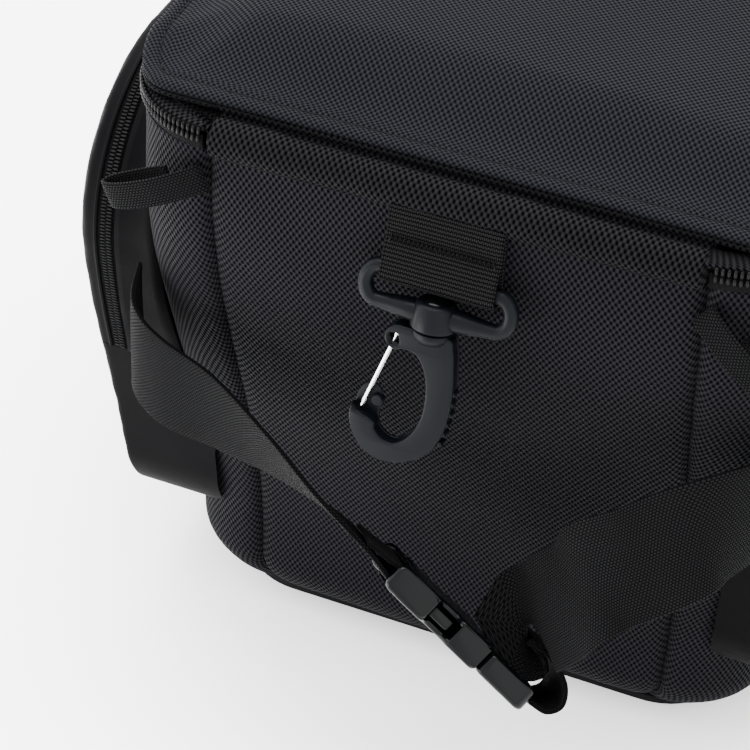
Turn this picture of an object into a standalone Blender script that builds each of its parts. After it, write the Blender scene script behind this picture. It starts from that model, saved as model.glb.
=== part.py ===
"""Tail bag for a motorcycle: a zipped lid over a sewn body, two side pockets, a swivel hook and a rear strap.

Metres, +Z up, origin at the centre of the base underside. The lid's hinge side faces -Y.
"""
import math

import bmesh
import bpy
from mathutils import Matrix, Vector

MM = 0.001
GAP = 0.3 * MM

# Body
BODY_HALF_X = 116 * MM
BODY_HALF_Y = 135 * MM
CORNER_R = 34 * MM
WALL_TOP = 237 * MM
WALL_LOW = 4 * MM
WALL_THICK = 4 * MM
BOTTOM_R = 22 * MM
REAR_INSET = 40 * MM
FRONT_INSET = 20 * MM
SIDE_INSET = 3 * MM
BASE_THICK = 3.4 * MM

# Lid
LID_AXIS = Vector((0, -127 * MM, 248.5 * MM))
LID_REAR_Y = -121.5 * MM
LID_LOW = 250 * MM
LID_RISE = 20 * MM
LID_MID_Y = (BODY_HALF_Y + LID_REAR_Y) / 2
LID_HALF_Y = (BODY_HALF_Y - LID_REAR_Y) / 2
ZIP_Z = 243 * MM

# Side pockets
POCKET_HALF_Y = 108 * MM
POCKET_LOW = 36 * MM
POCKET_TOP = 219 * MM
POCKET_SPLIT = 114 * MM
POCKET_DEPTH = 33 * MM
POCKET_TAPER = 0.34
POCKET_HINGE_X = 149 * MM
POCKET_WALL = 2.2 * MM
POCKET_TOP_R = 62 * MM
POCKET_LOW_R = 26 * MM

# Hook
HOOK_TILT = math.radians(14)
HOOK_CENTRE = Vector((0.5, -143.0, 204.7)) * MM
BAIL_WIRE_R = 2.7 * MM
BAIL_HALF = 24.2 * MM
BAIL_RISE = 12 * MM
BAIL_END = 4.6 * MM

# Webbing and buckle
WEB_WIDTH = 38 * MM
WEB_THICK = 1.6 * MM
BUCKLE_START = Vector((-6.6, -155.2, 106.2)) * MM
BUCKLE_END = Vector((48.4, -157.2, 65.2)) * MM
BUCKLE_WIDTH_DIR = Vector((0.26, -0.72, 0.64))
BUCKLE_W, BUCKLE_T = 46 * MM, 13 * MM

COLOURS = {
    "fabric": ((0.020, 0.020, 0.023, 1), 0.85, 0),
    "pocket_fabric": ((0.018, 0.018, 0.020, 1), 0.8, 0),
    "webbing": ((0.022, 0.021, 0.021, 1), 0.8, 0),
    "zip": ((0.012, 0.012, 0.013, 1), 0.5, 0),
    "lining": ((0.08, 0.08, 0.085, 1), 0.8, 0),
    "foam": ((0.15, 0.15, 0.16, 1), 0.9, 0),
    "rubber": ((0.015, 0.015, 0.016, 1), 0.7, 0),
    "board": ((0.05, 0.05, 0.05, 1), 0.6, 0),
    "buckle": ((0.012, 0.012, 0.013, 1), 0.2, 0),
    "hook": ((0.05, 0.05, 0.055, 1), 0.4, 0),
    "steel": ((0.6, 0.6, 0.6, 1), 0.25, 1),
    "slider": ((0.03, 0.03, 0.032, 1), 0.35, 1),
}


# ---------------------------------------------------------------- helpers

def clear_scene():
    for obj in list(bpy.data.objects):
        bpy.data.objects.remove(obj, do_unlink=True)


def make_collection(name):
    collection = bpy.data.collections.new(name)
    bpy.context.scene.collection.children.link(collection)
    return collection


def make_materials():
    made = {}
    for name, (colour, roughness, metallic) in COLOURS.items():
        mat = bpy.data.materials.new(name)
        mat.use_nodes = True
        shader = mat.node_tree.nodes["Principled BSDF"]
        shader.inputs["Base Color"].default_value = colour
        shader.inputs["Roughness"].default_value = roughness
        shader.inputs["Metallic"].default_value = metallic
        made[name] = mat
    return made


def add_object(name, bm, material, matrix=None):
    """Turn a bmesh into a named object, with its faces pointing out."""
    bmesh.ops.recalc_face_normals(bm, faces=bm.faces)
    mesh = bpy.data.meshes.new(name)
    bm.to_mesh(mesh)
    bm.free()
    mesh.materials.append(MATERIALS[material])
    mesh.shade_smooth()
    mesh.set_sharp_from_angle(angle=math.radians(35))
    obj = bpy.data.objects.new(name, mesh)
    PARTS.objects.link(obj)
    if matrix is not None:
        obj.matrix_world = matrix
    return obj


def set_origin(obj, point):
    """Move an object's origin to a point on its joint's axis, leaving its shape where it is."""
    shift = obj.matrix_world.inverted() @ Vector(point)
    obj.data.transform(Matrix.Translation(-shift))
    obj.matrix_world = obj.matrix_world @ Matrix.Translation(shift)


def smoothstep(t):
    t = min(max(t, 0.0), 1.0)
    return t * t * (3 - 2 * t)


def loft(name, outer, inner, material, ring=False, capped=False):
    """Close the space between two grids of points, row by row. A ring's rows join end to end."""
    bm = bmesh.new()
    rows, cols = len(outer), len(outer[0])
    skins = [[[bm.verts.new(p) for p in row] for row in grid] for grid in (outer, inner)]
    spans = cols if ring else cols - 1
    for skin in skins:
        for r in range(rows - 1):
            for c in range(spans):
                n = (c + 1) % cols
                bm.faces.new((skin[r][c], skin[r][n], skin[r + 1][n], skin[r + 1][c]))
    out, inn = skins
    for c in range(spans):
        n = (c + 1) % cols
        bm.faces.new((out[0][c], out[0][n], inn[0][n], inn[0][c]))
        if not capped:
            bm.faces.new((out[-1][c], out[-1][n], inn[-1][n], inn[-1][c]))
    if capped:
        bm.faces.new(out[-1])
        bm.faces.new(inn[-1])
    if not ring:
        for r in range(rows - 1):
            for c in (0, cols - 1):
                bm.faces.new((out[r][c], out[r + 1][c], inn[r + 1][c], inn[r][c]))
    return add_object(name, bm, material)


def box(name, size, material, matrix, bevel=0.0):
    bm = bmesh.new()
    bmesh.ops.create_cube(bm, size=1, matrix=Matrix.Diagonal((*size, 1)))
    obj = add_object(name, bm, material, matrix)
    if bevel:
        mod = obj.modifiers.new("edges", "BEVEL")
        mod.width = bevel
        mod.segments = 1
    return obj


def cylinder(name, radius, depth, material, matrix, sides=20):
    bm = bmesh.new()
    bmesh.ops.create_cone(bm, cap_ends=True, segments=sides, radius1=radius, radius2=radius, depth=depth)
    return add_object(name, bm, material, matrix)


def as_cutter(obj):
    PARTS.objects.unlink(obj)
    CUTTERS.objects.link(obj)
    obj.hide_render = True
    obj.display_type = "WIRE"
    return obj


def boolean(obj, other, operation):
    as_cutter(other)
    mod = obj.modifiers.new(operation.lower(), "BOOLEAN")
    mod.operation = operation
    mod.solver = "EXACT"
    mod.object = other


def plate(name, points, thickness, material, matrix, bevel=0.0):
    """A flat outline in the local XY plane, given a thickness about that plane."""
    curve = bpy.data.curves.new(name, "CURVE")
    curve.dimensions = "2D"
    curve.fill_mode = "BOTH"
    curve.extrude = thickness / 2
    spline = curve.splines.new("POLY")
    spline.points.add(len(points) - 1)
    for point, (x, y) in zip(spline.points, points):
        point.co = (x, y, 0, 1)
    spline.use_cyclic_u = True
    return curve_to_mesh(name, curve, material, matrix, bevel)


def tube(name, points, radius, material, matrix=None, cyclic=False, resolution=2):
    curve = bpy.data.curves.new(name, "CURVE")
    curve.dimensions = "3D"
    curve.bevel_depth = radius
    curve.bevel_resolution = resolution
    curve.use_fill_caps = True
    spline = curve.splines.new("POLY")
    spline.points.add(len(points) - 1)
    for point, co in zip(spline.points, points):
        point.co = (*co, 1)
    spline.use_cyclic_u = cyclic
    return curve_to_mesh(name, curve, material, matrix or Matrix())


def curve_to_mesh(name, curve, material, matrix, bevel=0.0):
    """Evaluate a curve into a welded mesh object, which Boolean and Bevel can work on."""
    source = bpy.data.objects.new(name + "_curve", curve)
    PARTS.objects.link(source)
    bpy.context.view_layer.update()
    evaluated = source.evaluated_get(bpy.context.evaluated_depsgraph_get())
    mesh = bpy.data.meshes.new_from_object(evaluated)
    bm = bmesh.new()
    bm.from_mesh(mesh)
    bmesh.ops.remove_doubles(bm, verts=bm.verts, dist=0.01 * MM)
    bpy.data.objects.remove(source, do_unlink=True)
    bpy.data.meshes.remove(mesh)
    bpy.data.curves.remove(curve)
    obj = add_object(name, bm, material, matrix)
    if bevel:
        mod = obj.modifiers.new("edges", "BEVEL")
        mod.width = bevel
        mod.segments = 1
        mod.limit_method = "ANGLE"
        mod.angle_limit = math.radians(50)
    return obj


def frame(origin, x_axis, y_axis):
    """A matrix whose local X and Y run along the two directions, made square to each other."""
    x = Vector(x_axis).normalized()
    z = x.cross(Vector(y_axis)).normalized()
    y = z.cross(x)
    rotation = Matrix((x, y, z)).transposed().to_4x4()
    return Matrix.Translation(origin) @ rotation


def smooth_path(points, steps):
    """Catmull-Rom points through a short list of vectors."""
    ends = [2 * points[0] - points[1]] + list(points) + [2 * points[-1] - points[-2]]
    path = []
    for a, b, c, d in zip(ends, ends[1:], ends[2:], ends[3:]):
        for step in range(steps):
            t = step / steps
            path.append(0.5 * (2 * b + (c - a) * t + (2 * a - 5 * b + 4 * c - d) * t ** 2
                               + (3 * b - a - 3 * c + d) * t ** 3))
    path.append(points[-1])
    return path


def ribbon(name, stations, width, thickness, material, steps=3):
    """Webbing through stations of (centre, direction of its width)."""
    centres = smooth_path([Vector(c) * MM for c, _ in stations], steps)
    widths = [w.normalized() for w in smooth_path([Vector(w) for _, w in stations], steps)]
    sides = ([], [])
    for i, (centre, across) in enumerate(zip(centres, widths)):
        ahead = centres[min(i + 1, len(centres) - 1)] - centres[max(i - 1, 0)]
        face = ahead.cross(across).normalized() * thickness / 2
        for side, sign in zip(sides, (1, -1)):
            side.append([centre + across * width * k + face * sign for k in (-0.5, 0, 0.5)])
    return loft(name, sides[0], sides[1], material)


# ---------------------------------------------------------------- body

def insets(z):
    """How far the rear, front and side walls have moved in at a height, with the round bottom edge."""
    drop = WALL_TOP - z
    below = max(WALL_LOW + BOTTOM_R - z, 0) / BOTTOM_R
    turn = BOTTOM_R * (1 - math.sqrt(max(1 - below * below, 0)))
    rear = REAR_INSET * smoothstep((drop - 0.010) / 0.190)
    front = FRONT_INSET * smoothstep((drop - 0.020) / 0.200)
    side = SIDE_INSET * smoothstep((drop - 0.040) / 0.180)
    return rear + turn, front + turn, side + turn, turn


def section(z, offset=0.0, straight=6, arc=4):
    """One closed horizontal outline, from the rear-left seam round by +X, as offset inside the wall."""
    rear, front, side, turn = insets(z)
    a = BODY_HALF_X - side - offset
    r = CORNER_R - 0.5 * turn - offset
    low, high = -(BODY_HALF_Y - rear - offset), BODY_HALF_Y - front - offset
    corners = [((a - r, low + r), -90), ((a - r, high - r), 0), ((r - a, high - r), 90), ((r - a, low + r), 180)]
    points = []
    start = Vector((r - a, low, z))
    for (cx, cy), angle in corners:
        turn_points = []
        for i in range(arc + 1):
            t = math.radians(angle + 90 * i / arc)
            turn_points.append(Vector((cx + r * math.cos(t), cy + r * math.sin(t), z)))
        for i in range(straight):
            points.append(start.lerp(turn_points[0], i / straight))
        points += turn_points[:-1]
        start = turn_points[-1]
    return points


STRAIGHT, ARC = 6, 4
QUARTER = STRAIGHT + ARC


def wall_rows():
    rows = [WALL_TOP - drop * MM for drop in (0, 28, 56, 84, 112, 140, 168, 196)]
    for degrees in (0, 30, 60, 84):
        rows.append(WALL_LOW + BOTTOM_R * (1 - math.sin(math.radians(degrees))))
    return rows


def seam_gap(row):
    """Draw a wall panel's two edges in by half a gap."""
    row = list(row)
    row[0] = row[0] + (row[1] - row[0]).normalized() * GAP / 2
    row[-1] = row[-1] + (row[-2] - row[-1]).normalized() * GAP / 2
    return row


def wall_panel(name, first, count):
    grids = []
    for offset in (0, WALL_THICK):
        lift = 0.8 * offset
        grid = []
        for z in wall_rows():
            inside = z + lift * smoothstep((0.030 - z) / 0.026)
            points = section(inside if offset else z, offset, STRAIGHT, ARC)
            grid.append(seam_gap([points[(first + i) % len(points)] for i in range(count + 1)]))
        grids.append(grid)
    return loft(name, grids[0], grids[1], "fabric")


def body_walls():
    wall_panel("rear_panel", 0, STRAIGHT)
    wall_panel("right_side_panel", STRAIGHT, 2 * ARC + STRAIGHT)
    wall_panel("front_panel", 2 * QUARTER, STRAIGHT)
    wall_panel("left_side_panel", 2 * QUARTER + STRAIGHT, 2 * ARC + STRAIGHT)


def rounded_plate(name, low_z, high_z, inset, material):
    outline = [(p.x, p.y) for p in section(WALL_LOW + 0.4 * MM, inset)]
    middle = Matrix.Translation((0, 0, (low_z + high_z) / 2))
    return plate(name, outline, high_z - low_z, material, middle)


def body_inside():
    rounded_plate("base_panel", 0, BASE_THICK, -4 * MM, "rubber")
    rounded_plate("base_board", 9 * MM, 12 * MM, 1 * MM, "board")
    skin = 1.2 * MM
    clear = WALL_THICK + 0.7 * MM
    rows = [z * MM for z in (236, 190, 140, 112, 90, 69, 48, 30)]
    outer, inner = [], []
    for z in rows:
        outer.append(section(z, clear, 3, 2))
        inner.append(section(z, clear + skin, 3, 2))
    floor_z = 13 * MM
    for grid, offset, z in ((outer, clear, floor_z), (inner, clear + skin, floor_z + skin)):
        grid.append([Vector((p.x, p.y, z)) for p in section(WALL_LOW + 3 * MM, offset, 3, 2)])
    loft("body_lining", outer, inner, "lining", ring=True, capped=True)


def rim_path(offset=0.0):
    """The body's top outline as a path round the three zipped sides, rear-right corner first."""
    points = section(WALL_TOP, offset, STRAIGHT, ARC)
    path = points[STRAIGHT:] + points[:1]
    path[0] = path[0] + (path[1] - path[0]).normalized() * GAP
    path[-1] = path[-1] + (path[-2] - path[-1]).normalized() * GAP
    return path


def rim_band(name, z_low, z_high, thickness, material, offset=0.0):
    grids = []
    for inset in (offset, offset + thickness):
        path = rim_path(inset)
        grids.append([[Vector((p.x, p.y, z)) for p in path] for z in (z_low, z_high)])
    return loft(name, grids[0], grids[1], material)


def hinge_band():
    """The puffed strip of fabric that joins the body's rear edge to the lid."""
    half = BODY_HALF_X - CORNER_R
    lower = Vector((0, -BODY_HALF_Y, WALL_TOP + GAP))
    grids = ([], [])
    for i in range(6):
        turn = math.radians(90 * i / 5)
        for grid, thickness in zip(grids, (0, 3 * MM)):
            reach = 8.2 * MM - thickness
            y = lower.y + 8.2 * MM - reach * math.cos(turn)
            z = lower.z + 9.6 * MM * math.sin(turn) * reach / (8.2 * MM)
            grid.append([Vector((half * k, y, z)) for k in (-1, -0.5, 0, 0.5, 1)])
    return loft("hinge_band", grids[0], grids[1], "fabric")


def tab_loops():
    """Folded webbing tabs sewn in at the two ends of the lid's zip."""
    for side, sign, droop in (("left", -1, 13), ("right", 1, 22)):
        profile = [(84.5, -136.6), (91, -139.6), (98, -141.6), (106, -142), (112, -141), (115, -138.6),
                   (112.5, -135.8), (106, -134.2), (99, -133.4), (95, -133.6)]
        fall = droop / 30.5
        stations = [((sign * x, y, 226 - fall * (x - 84.5)), (sign * fall, 0, 1)) for x, y in profile]
        ribbon(side + "_tab_loop", stations, 10 * MM, 1.2 * MM, "webbing", steps=2)


def anchor_loops():
    """Flat webbing loops in the base seam at the front, for tying the bag down."""
    profile = [(114.8, 18.4), (122, 18.8), (130, 18.6), (134.4, 15), (130.5, 11.2), (123, 10.6), (114, 10.2)]
    for side, sign in (("left", -1), ("right", 1)):
        stations = [((sign * 45, y, z), (1, 0, 0)) for y, z in profile]
        ribbon("front_" + side + "_anchor_loop", stations, 25 * MM, 1.2 * MM, "webbing", steps=2)


# ---------------------------------------------------------------- lid

def lid_outline(inset):
    """The lid's outline: round front corners, and a straight rear edge just ahead of the hinge."""
    points = section(WALL_TOP, inset, STRAIGHT, ARC)
    return [Vector((p.x, max(p.y, LID_REAR_Y + 0.5 * inset), 0)) for p in points]


def dome(point, drop=0.0):
    """Height of the lid's crowned top above a point."""
    across = 1 - (point.x / BODY_HALF_X) ** 2
    along = 1 - ((point.y - LID_MID_Y) / LID_HALF_Y) ** 2
    return LID_LOW + 6 * MM + LID_RISE * math.sqrt(max(across * along, 0)) - drop


def lid_shell(name, top_drop, thickness, material, first=0):
    grids = ([], [])
    outline = lid_outline(0)
    for scale in (1, 0.93, 0.8, 0.6, 0.35, 0.1)[first:]:
        for grid, lower in zip(grids, (0, thickness)):
            row = []
            for p in outline:
                flat = Vector((p.x * scale, LID_MID_Y + (p.y - LID_MID_Y) * scale, 0))
                row.append(Vector((flat.x, flat.y, dome(flat, top_drop + lower))))
            grid.append(row)
    set_origin(loft(name, grids[0], grids[1], material, ring=True, capped=True), LID_AXIS)


def lid_parts():
    lid_shell("lid_panel", 0, 2.5 * MM, "fabric")
    lid_shell("lid_foam", 2.5 * MM + GAP, 2.6 * MM, "foam", first=1)
    lid_shell("lid_lining", 5.1 * MM + 2 * GAP, 0.9 * MM, "lining", first=1)
    rim_band("body_zip_tape", WALL_TOP + GAP, ZIP_Z - GAP / 2, 1.6 * MM, "zip")
    lid_ring("lid_zip_tape", ZIP_Z + GAP / 2, 248.2 * MM, 1.6 * MM, "zip")
    skirt = [[[Vector((p.x, p.y, z)) for p in lid_outline(inset)] for z in (248.5 * MM, 253.1 * MM)]
             for inset in (0, 2 * MM)]
    set_origin(loft("lid_skirt", skirt[0], skirt[1], "fabric", ring=True), LID_AXIS)


def lid_ring(name, z_low, z_high, thickness, material):
    """A band round the lid's three zipped sides, drawn in at the rear corners to clear the hinge."""
    grids = []
    for inset in (0, thickness):
        path = [p for p in rim_path(inset) if p.y > LID_REAR_Y]
        grids.append([[Vector((p.x, p.y, z)) for p in path] for z in (z_low, z_high)])
    set_origin(loft(name, grids[0], grids[1], material), LID_AXIS)


HANDLE_HALF = 70 * MM
HANDLE_Z = dome(Vector((HANDLE_HALF, 0, 0))) + 5.2 * MM


def carry_handle():
    """Sewn patches hold a webbing handle, which lies folded towards the front."""
    for side, sign in (("left", -1), ("right", 1)):
        x = sign * (HANDLE_HALF + 11 * MM)
        grids = ([], [])
        for y in (-14, -5, 5, 14):
            for grid, lift in zip(grids, (1.9 * MM, 0.4 * MM)):
                row = []
                for k in (-9, 0, 9):
                    spot = Vector((x + k * MM, y * MM, 0))
                    row.append(Vector((spot.x, spot.y, dome(spot) + lift)))
                grid.append(row)
        set_origin(loft("handle_anchor_" + side, grids[0], grids[1], "webbing"), LID_AXIS)
    half = HANDLE_HALF / MM
    level = HANDLE_Z / MM
    rise = 0.28
    stations = [((half, 0, level), (0.8, 0.45, 0.1)), ((half - 3, 14, level + 14 * rise), (0.8, 0.45, 0.1)),
                ((half - 12, 27, level + 27 * rise), (0.8, 0.45, 0.1)),
                ((half - 28, 36, level + 36 * rise), (0, 1, rise))]
    mirrored = [((-x, y, z), (-w[0], w[1], w[2])) for (x, y, z), w in reversed(stations)]
    stations = stations + [((0, 40, level + 40 * rise), (0, 1, rise))] + mirrored
    strap = ribbon("carry_handle", stations, 12 * MM, 2 * MM, "webbing", steps=2)
    set_origin(strap, (0, 0, HANDLE_Z))
    grip_at = Matrix.Translation((0, 40 * MM, HANDLE_Z + 0.28 * 40 * MM)) @ Matrix.Rotation(0.27, 4, "X")
    grip = box("handle_grip", (66 * MM, 25 * MM, 9 * MM), "rubber", grip_at, bevel=2.5 * MM)
    slot = box("grip_slot", (80 * MM, 19 * MM, 4.4 * MM), "rubber", grip_at)
    boolean(grip, slot, "DIFFERENCE")
    set_origin(grip, (0, 0, HANDLE_Z))


def lid_sliders():
    """Two sliders meet at the middle of the front, each with a hanging puller."""
    y = BODY_HALF_Y
    for side, sign in (("left", -1), ("right", 1)):
        x = sign * 9 * MM
        block = Matrix.Translation((x, y + 2.1 * MM, ZIP_Z))
        slider = box("lid_slider_" + side, (12 * MM, 3.4 * MM, 8 * MM), "slider", block, bevel=1 * MM)
        set_origin(slider, (x, y + 2.1 * MM, ZIP_Z))
        hinge = Vector((x, y + 5.7 * MM, ZIP_Z - 0.5 * MM))
        puller("lid_pull_" + side, hinge, Matrix.Translation(hinge))


def puller(name, hinge, matrix):
    """A flat tapered zip puller in the local XZ plane, hanging from the matrix's origin."""
    outline = [(-3, 1.6), (3, 1.6), (3, -8), (4.2, -14), (4.2, -30), (2.6, -33), (-2.6, -33), (-4.2, -30),
               (-4.2, -14), (-3, -8)]
    upright = matrix @ Matrix.Rotation(math.radians(90), 4, "X")
    pull = plate(name, [(x * MM, z * MM) for x, z in outline], 1.8 * MM, "slider", upright)
    hole = box(name + "_eye", (3 * MM, 4 * MM, 4 * MM), "slider",
               upright @ Matrix.Translation((0, -23 * MM, 0)))
    boolean(pull, hole, "DIFFERENCE")
    set_origin(pull, hinge)
    return pull


# ---------------------------------------------------------------- side pockets

def wall_x(y, z):
    """Half-width of the body at a place on its side, following the round corners."""
    rear, front, side, _ = insets(z)
    a = BODY_HALF_X - side
    reach = BODY_HALF_Y - (rear if y < 0 else front)
    over = max(abs(y) - (reach - CORNER_R), 0)
    over = min(over, 0.9 * CORNER_R)
    return a - CORNER_R + math.sqrt(CORNER_R ** 2 - over ** 2)


def pocket_outline(upper, count):
    """The pocket's edge above or below its split, as points in Y and Z from rear to front."""
    radius = POCKET_TOP_R if upper else POCKET_LOW_R
    end_z = POCKET_TOP if upper else POCKET_LOW
    sign = 1 if upper else -1
    start = POCKET_SPLIT + sign * GAP / 2
    corner_z = end_z - sign * radius
    points = [(-POCKET_HALF_Y, start), (-POCKET_HALF_Y, (start + corner_z) / 2)]
    for i in range(count + 1):
        t = math.radians(90 * i / count)
        points.append((-POCKET_HALF_Y + radius * (1 - math.cos(t)), corner_z + sign * radius * math.sin(t)))
    for part in (0.2,) if upper else (0.66, 0.55, 0.35, 0.15):
        points.append((-POCKET_HALF_Y * part, end_z))
    return points + [(-y, z) for y, z in reversed(points)]


def pocket_point(side, y, z, scale, depth):
    """A point on the pocket's skin: the outline drawn in by scale, at a depth out from the body."""
    lean = 0.30 * insets(z)[0] * max(-y / POCKET_HALF_Y, 0)
    y = (y + lean) * scale
    z = POCKET_SPLIT + (z - POCKET_SPLIT) * scale
    edge = wall_x(y, z)
    depth *= 1 - POCKET_TAPER * smoothstep((POCKET_SPLIT + 0.040 - z) / 0.118)
    flat = BODY_HALF_X - insets(max(z, WALL_LOW + BOTTOM_R))[2]
    blend = min(depth / (12 * MM), 1)
    return Vector((side * (edge + (flat - edge) * blend + 1.3 * MM + depth), y, z))


def pocket_profile(step, steps):
    """Scale and depth along the crowned outer face, from its edge at step 0 to its middle."""
    turn = math.radians(90 * step / steps)
    scale = max(math.cos(turn), 0) ** 0.62
    depth = 18 * MM + (POCKET_DEPTH - 18 * MM) * math.sin(turn) ** 0.75
    return max(scale, 0.02), depth


def pocket_skin(name, side, upper, stops, material, count):
    grids = ([], [])
    outline = pocket_outline(upper, count)
    for scale, depth in stops:
        for grid, wall in zip(grids, (0, POCKET_WALL)):
            inner_scale = scale * (1 - wall / POCKET_HALF_Y)
            face = wall * smoothstep((depth - 18 * MM) / (3 * MM))
            grid.append([pocket_point(side, y, z, inner_scale if wall else scale, depth - face)
                         for y, z in outline])
    return loft(name, grids[0], grids[1], material)


def pockets():
    for side, sign in (("left", -1), ("right", 1)):
        pocket_skin(side + "_pocket_frame", sign, True, [(1, 0), (1, 9 * MM)], "pocket_fabric", 4)
        pocket_skin(side + "_pocket_zip", sign, True, [(1, 9 * MM + GAP), (1, 15.7 * MM)], "zip", 4)
        crown = [pocket_profile(i, 5) for i in range(1, 6)]
        flap = pocket_skin(side + "_pocket_flap", sign, True, [(1, 16 * MM), (1, 18 * MM)] + crown,
                           "pocket_fabric", 4)
        set_origin(flap, (sign * POCKET_HINGE_X, 0, POCKET_SPLIT - 0.1 * MM))
        pocket_skin(side + "_pocket_bucket", sign, False, [(1, 0), (1, 18 * MM)] + crown,
                    "pocket_fabric", 3)
        pocket_slider(side, sign)


def pocket_slider(side, sign):
    """The pocket's slider, parked at the front lower end of its zip, with its puller hanging."""
    y = POCKET_HALF_Y + 2.1 * MM
    z = POCKET_SPLIT + 6 * MM
    x = sign * (BODY_HALF_X - insets(z)[2] + 0.5 * MM + 12.4 * MM)
    slider = box(side + "_pocket_slider", (8 * MM, 3.4 * MM, 10 * MM), "slider",
                 Matrix.Translation((x, y, z)), bevel=1 * MM)
    set_origin(slider, (x, y, z))
    hinge = Vector((x, y + 3.6 * MM, z))
    puller(side + "_pocket_pull", hinge, Matrix.Translation(hinge))


# ---------------------------------------------------------------- hook

def hook_frame():
    return frame(HOOK_CENTRE, (1, 0, 0), (0, math.cos(HOOK_TILT), -math.sin(HOOK_TILT)))


def hook_webbing():
    """Webbing sewn down at the top, folded round the bail's upper bar."""
    bar = hook_frame() @ Vector((0, 0, BAIL_RISE))
    radius = BAIL_WIRE_R + GAP + WEB_THICK / 2 + 0.1 * MM
    path = [(-138.2, 234), (-138.8, 228.5), (-141.6, 222.5)]
    path = [(y * MM, z * MM) for y, z in path]
    for degrees in range(180, 361, 30):
        t = math.radians(degrees)
        path.append((bar.y + radius * math.cos(t), bar.z + radius * math.sin(t)))
    path += [(-136.3 * MM, 223 * MM), (-136.15 * MM, 234 * MM)]
    left, right = [], []
    for i, (y, z) in enumerate(path):
        before, after = path[max(i - 1, 0)], path[min(i + 1, len(path) - 1)]
        along = Vector((0, after[0] - before[0], after[1] - before[1])).normalized()
        off = along.cross(Vector((1, 0, 0))) * WEB_THICK / 2
        for grid, k in ((left, 1), (right, -1)):
            grid.append([Vector((HOOK_CENTRE.x + x * WEB_WIDTH / 2, y, z)) + off * k for x in (-1, 1)])
    return loft("hook_webbing", left, right, "webbing")


def hook_parts():
    place = hook_frame()
    ring = []
    for side in (1, -1):
        for degrees in range(-90, 91, 30):
            t = math.radians(degrees)
            reach = BAIL_HALF - BAIL_END + BAIL_END * math.cos(t)
            ring.append((side * reach, 0, BAIL_RISE / 2 + side * BAIL_RISE / 2 * math.sin(t)))
    bail = tube("hook_bail", ring, BAIL_WIRE_R, "hook", place, cyclic=True)
    barrel = cylinder("barrel", 7.2 * MM, 7.6 * MM, "hook", place)
    boolean(bail, barrel, "UNION")
    hole = cylinder("barrel_hole", 2.9 * MM, 20 * MM, "hook", place, 16)
    boolean(bail, hole, "DIFFERENCE")
    set_origin(bail, place @ Vector((0, 0, BAIL_RISE)))

    profile = [(0, 6.4), (2.2, 6.1), (3.9, 5.2), (4.4, 4.1), (2.4, 4.1), (2.4, -5.2), (0, -5.2)]
    stem = bpy.data.meshes.new("hook_stem")
    edges = [(i, i + 1) for i in range(len(profile) - 1)]
    stem.from_pydata([(x * MM, 0, z * MM) for x, z in profile], edges, [])
    stem.materials.append(MATERIALS["hook"])
    stem_obj = bpy.data.objects.new("hook_stem", stem)
    PARTS.objects.link(stem_obj)
    stem_obj.matrix_world = place
    turn = stem_obj.modifiers.new("turn", "SCREW")
    turn.steps = turn.render_steps = 16
    turn.use_merge_vertices = True
    turn.merge_threshold = 0.01 * MM

    outer = [(-7, -5.6), (7, -5.6), (9.2, -10), (10.3, -18), (10.7, -27), (10.0, -36), (7.6, -43.5), (2.8, -49.6),
             (-4, -53.2), (-11.5, -53.6), (-17.8, -50.4), (-21.6, -44.8), (-22.6, -38.5), (-21, -32.5),
             (-18, -30), (-15.2, -30.8), (-14.4, -33.4), (-16.4, -35.6), (-17.2, -38.0), (-14.2, -40.0),
             (-13.6, -43.4), (-10.6, -46.2), (-6.2, -46.4), (-2.0, -42.8), (0.8, -36), (1.6, -27.5),
             (0.2, -19.8), (-3.2, -14.6), (-7.4, -13.2), (-11.8, -13.4), (-14.2, -11.2), (-14.4, -8.2),
             (-11.6, -5.6)]
    upright = place @ Matrix.Rotation(math.radians(90), 4, "X")
    body = plate("hook_body", [(x * MM, z * MM) for x, z in outer], 6.4 * MM, "hook", upright, bevel=0.7 * MM)
    notch = box("gate_notch", (5.6 * MM, 12 * MM, 3.4 * MM), "hook",
                upright @ Matrix.Translation((-13.4 * MM, -11.5 * MM, 0)))
    boolean(body, notch, "DIFFERENCE")
    slot = box("nose_slot", (12 * MM, 11 * MM, 3.4 * MM), "hook",
               upright @ Matrix.Translation((-19 * MM, -33.5 * MM, 0)))
    boolean(body, slot, "DIFFERENCE")
    set_origin(body, place.translation)

    top, low = Vector((-11.9, 0, -10.0)), Vector((-18.3, 0, -36.4))
    wires = []
    for y in (-0.95, 0.95):
        wires.append([top + Vector((0, y, 0)), low + Vector((0, y, 0))])
    loop = [wires[0][0], wires[0][1], wires[1][1], wires[1][0]]
    gate = tube("hook_gate", [p * MM for p in loop], 0.62 * MM, "steel", place, cyclic=True)
    set_origin(gate, place @ (top * MM))


# ---------------------------------------------------------------- rear strap

def buckle_frame():
    along = BUCKLE_END - BUCKLE_START
    return frame(BUCKLE_START, along, BUCKLE_WIDTH_DIR)


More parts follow.
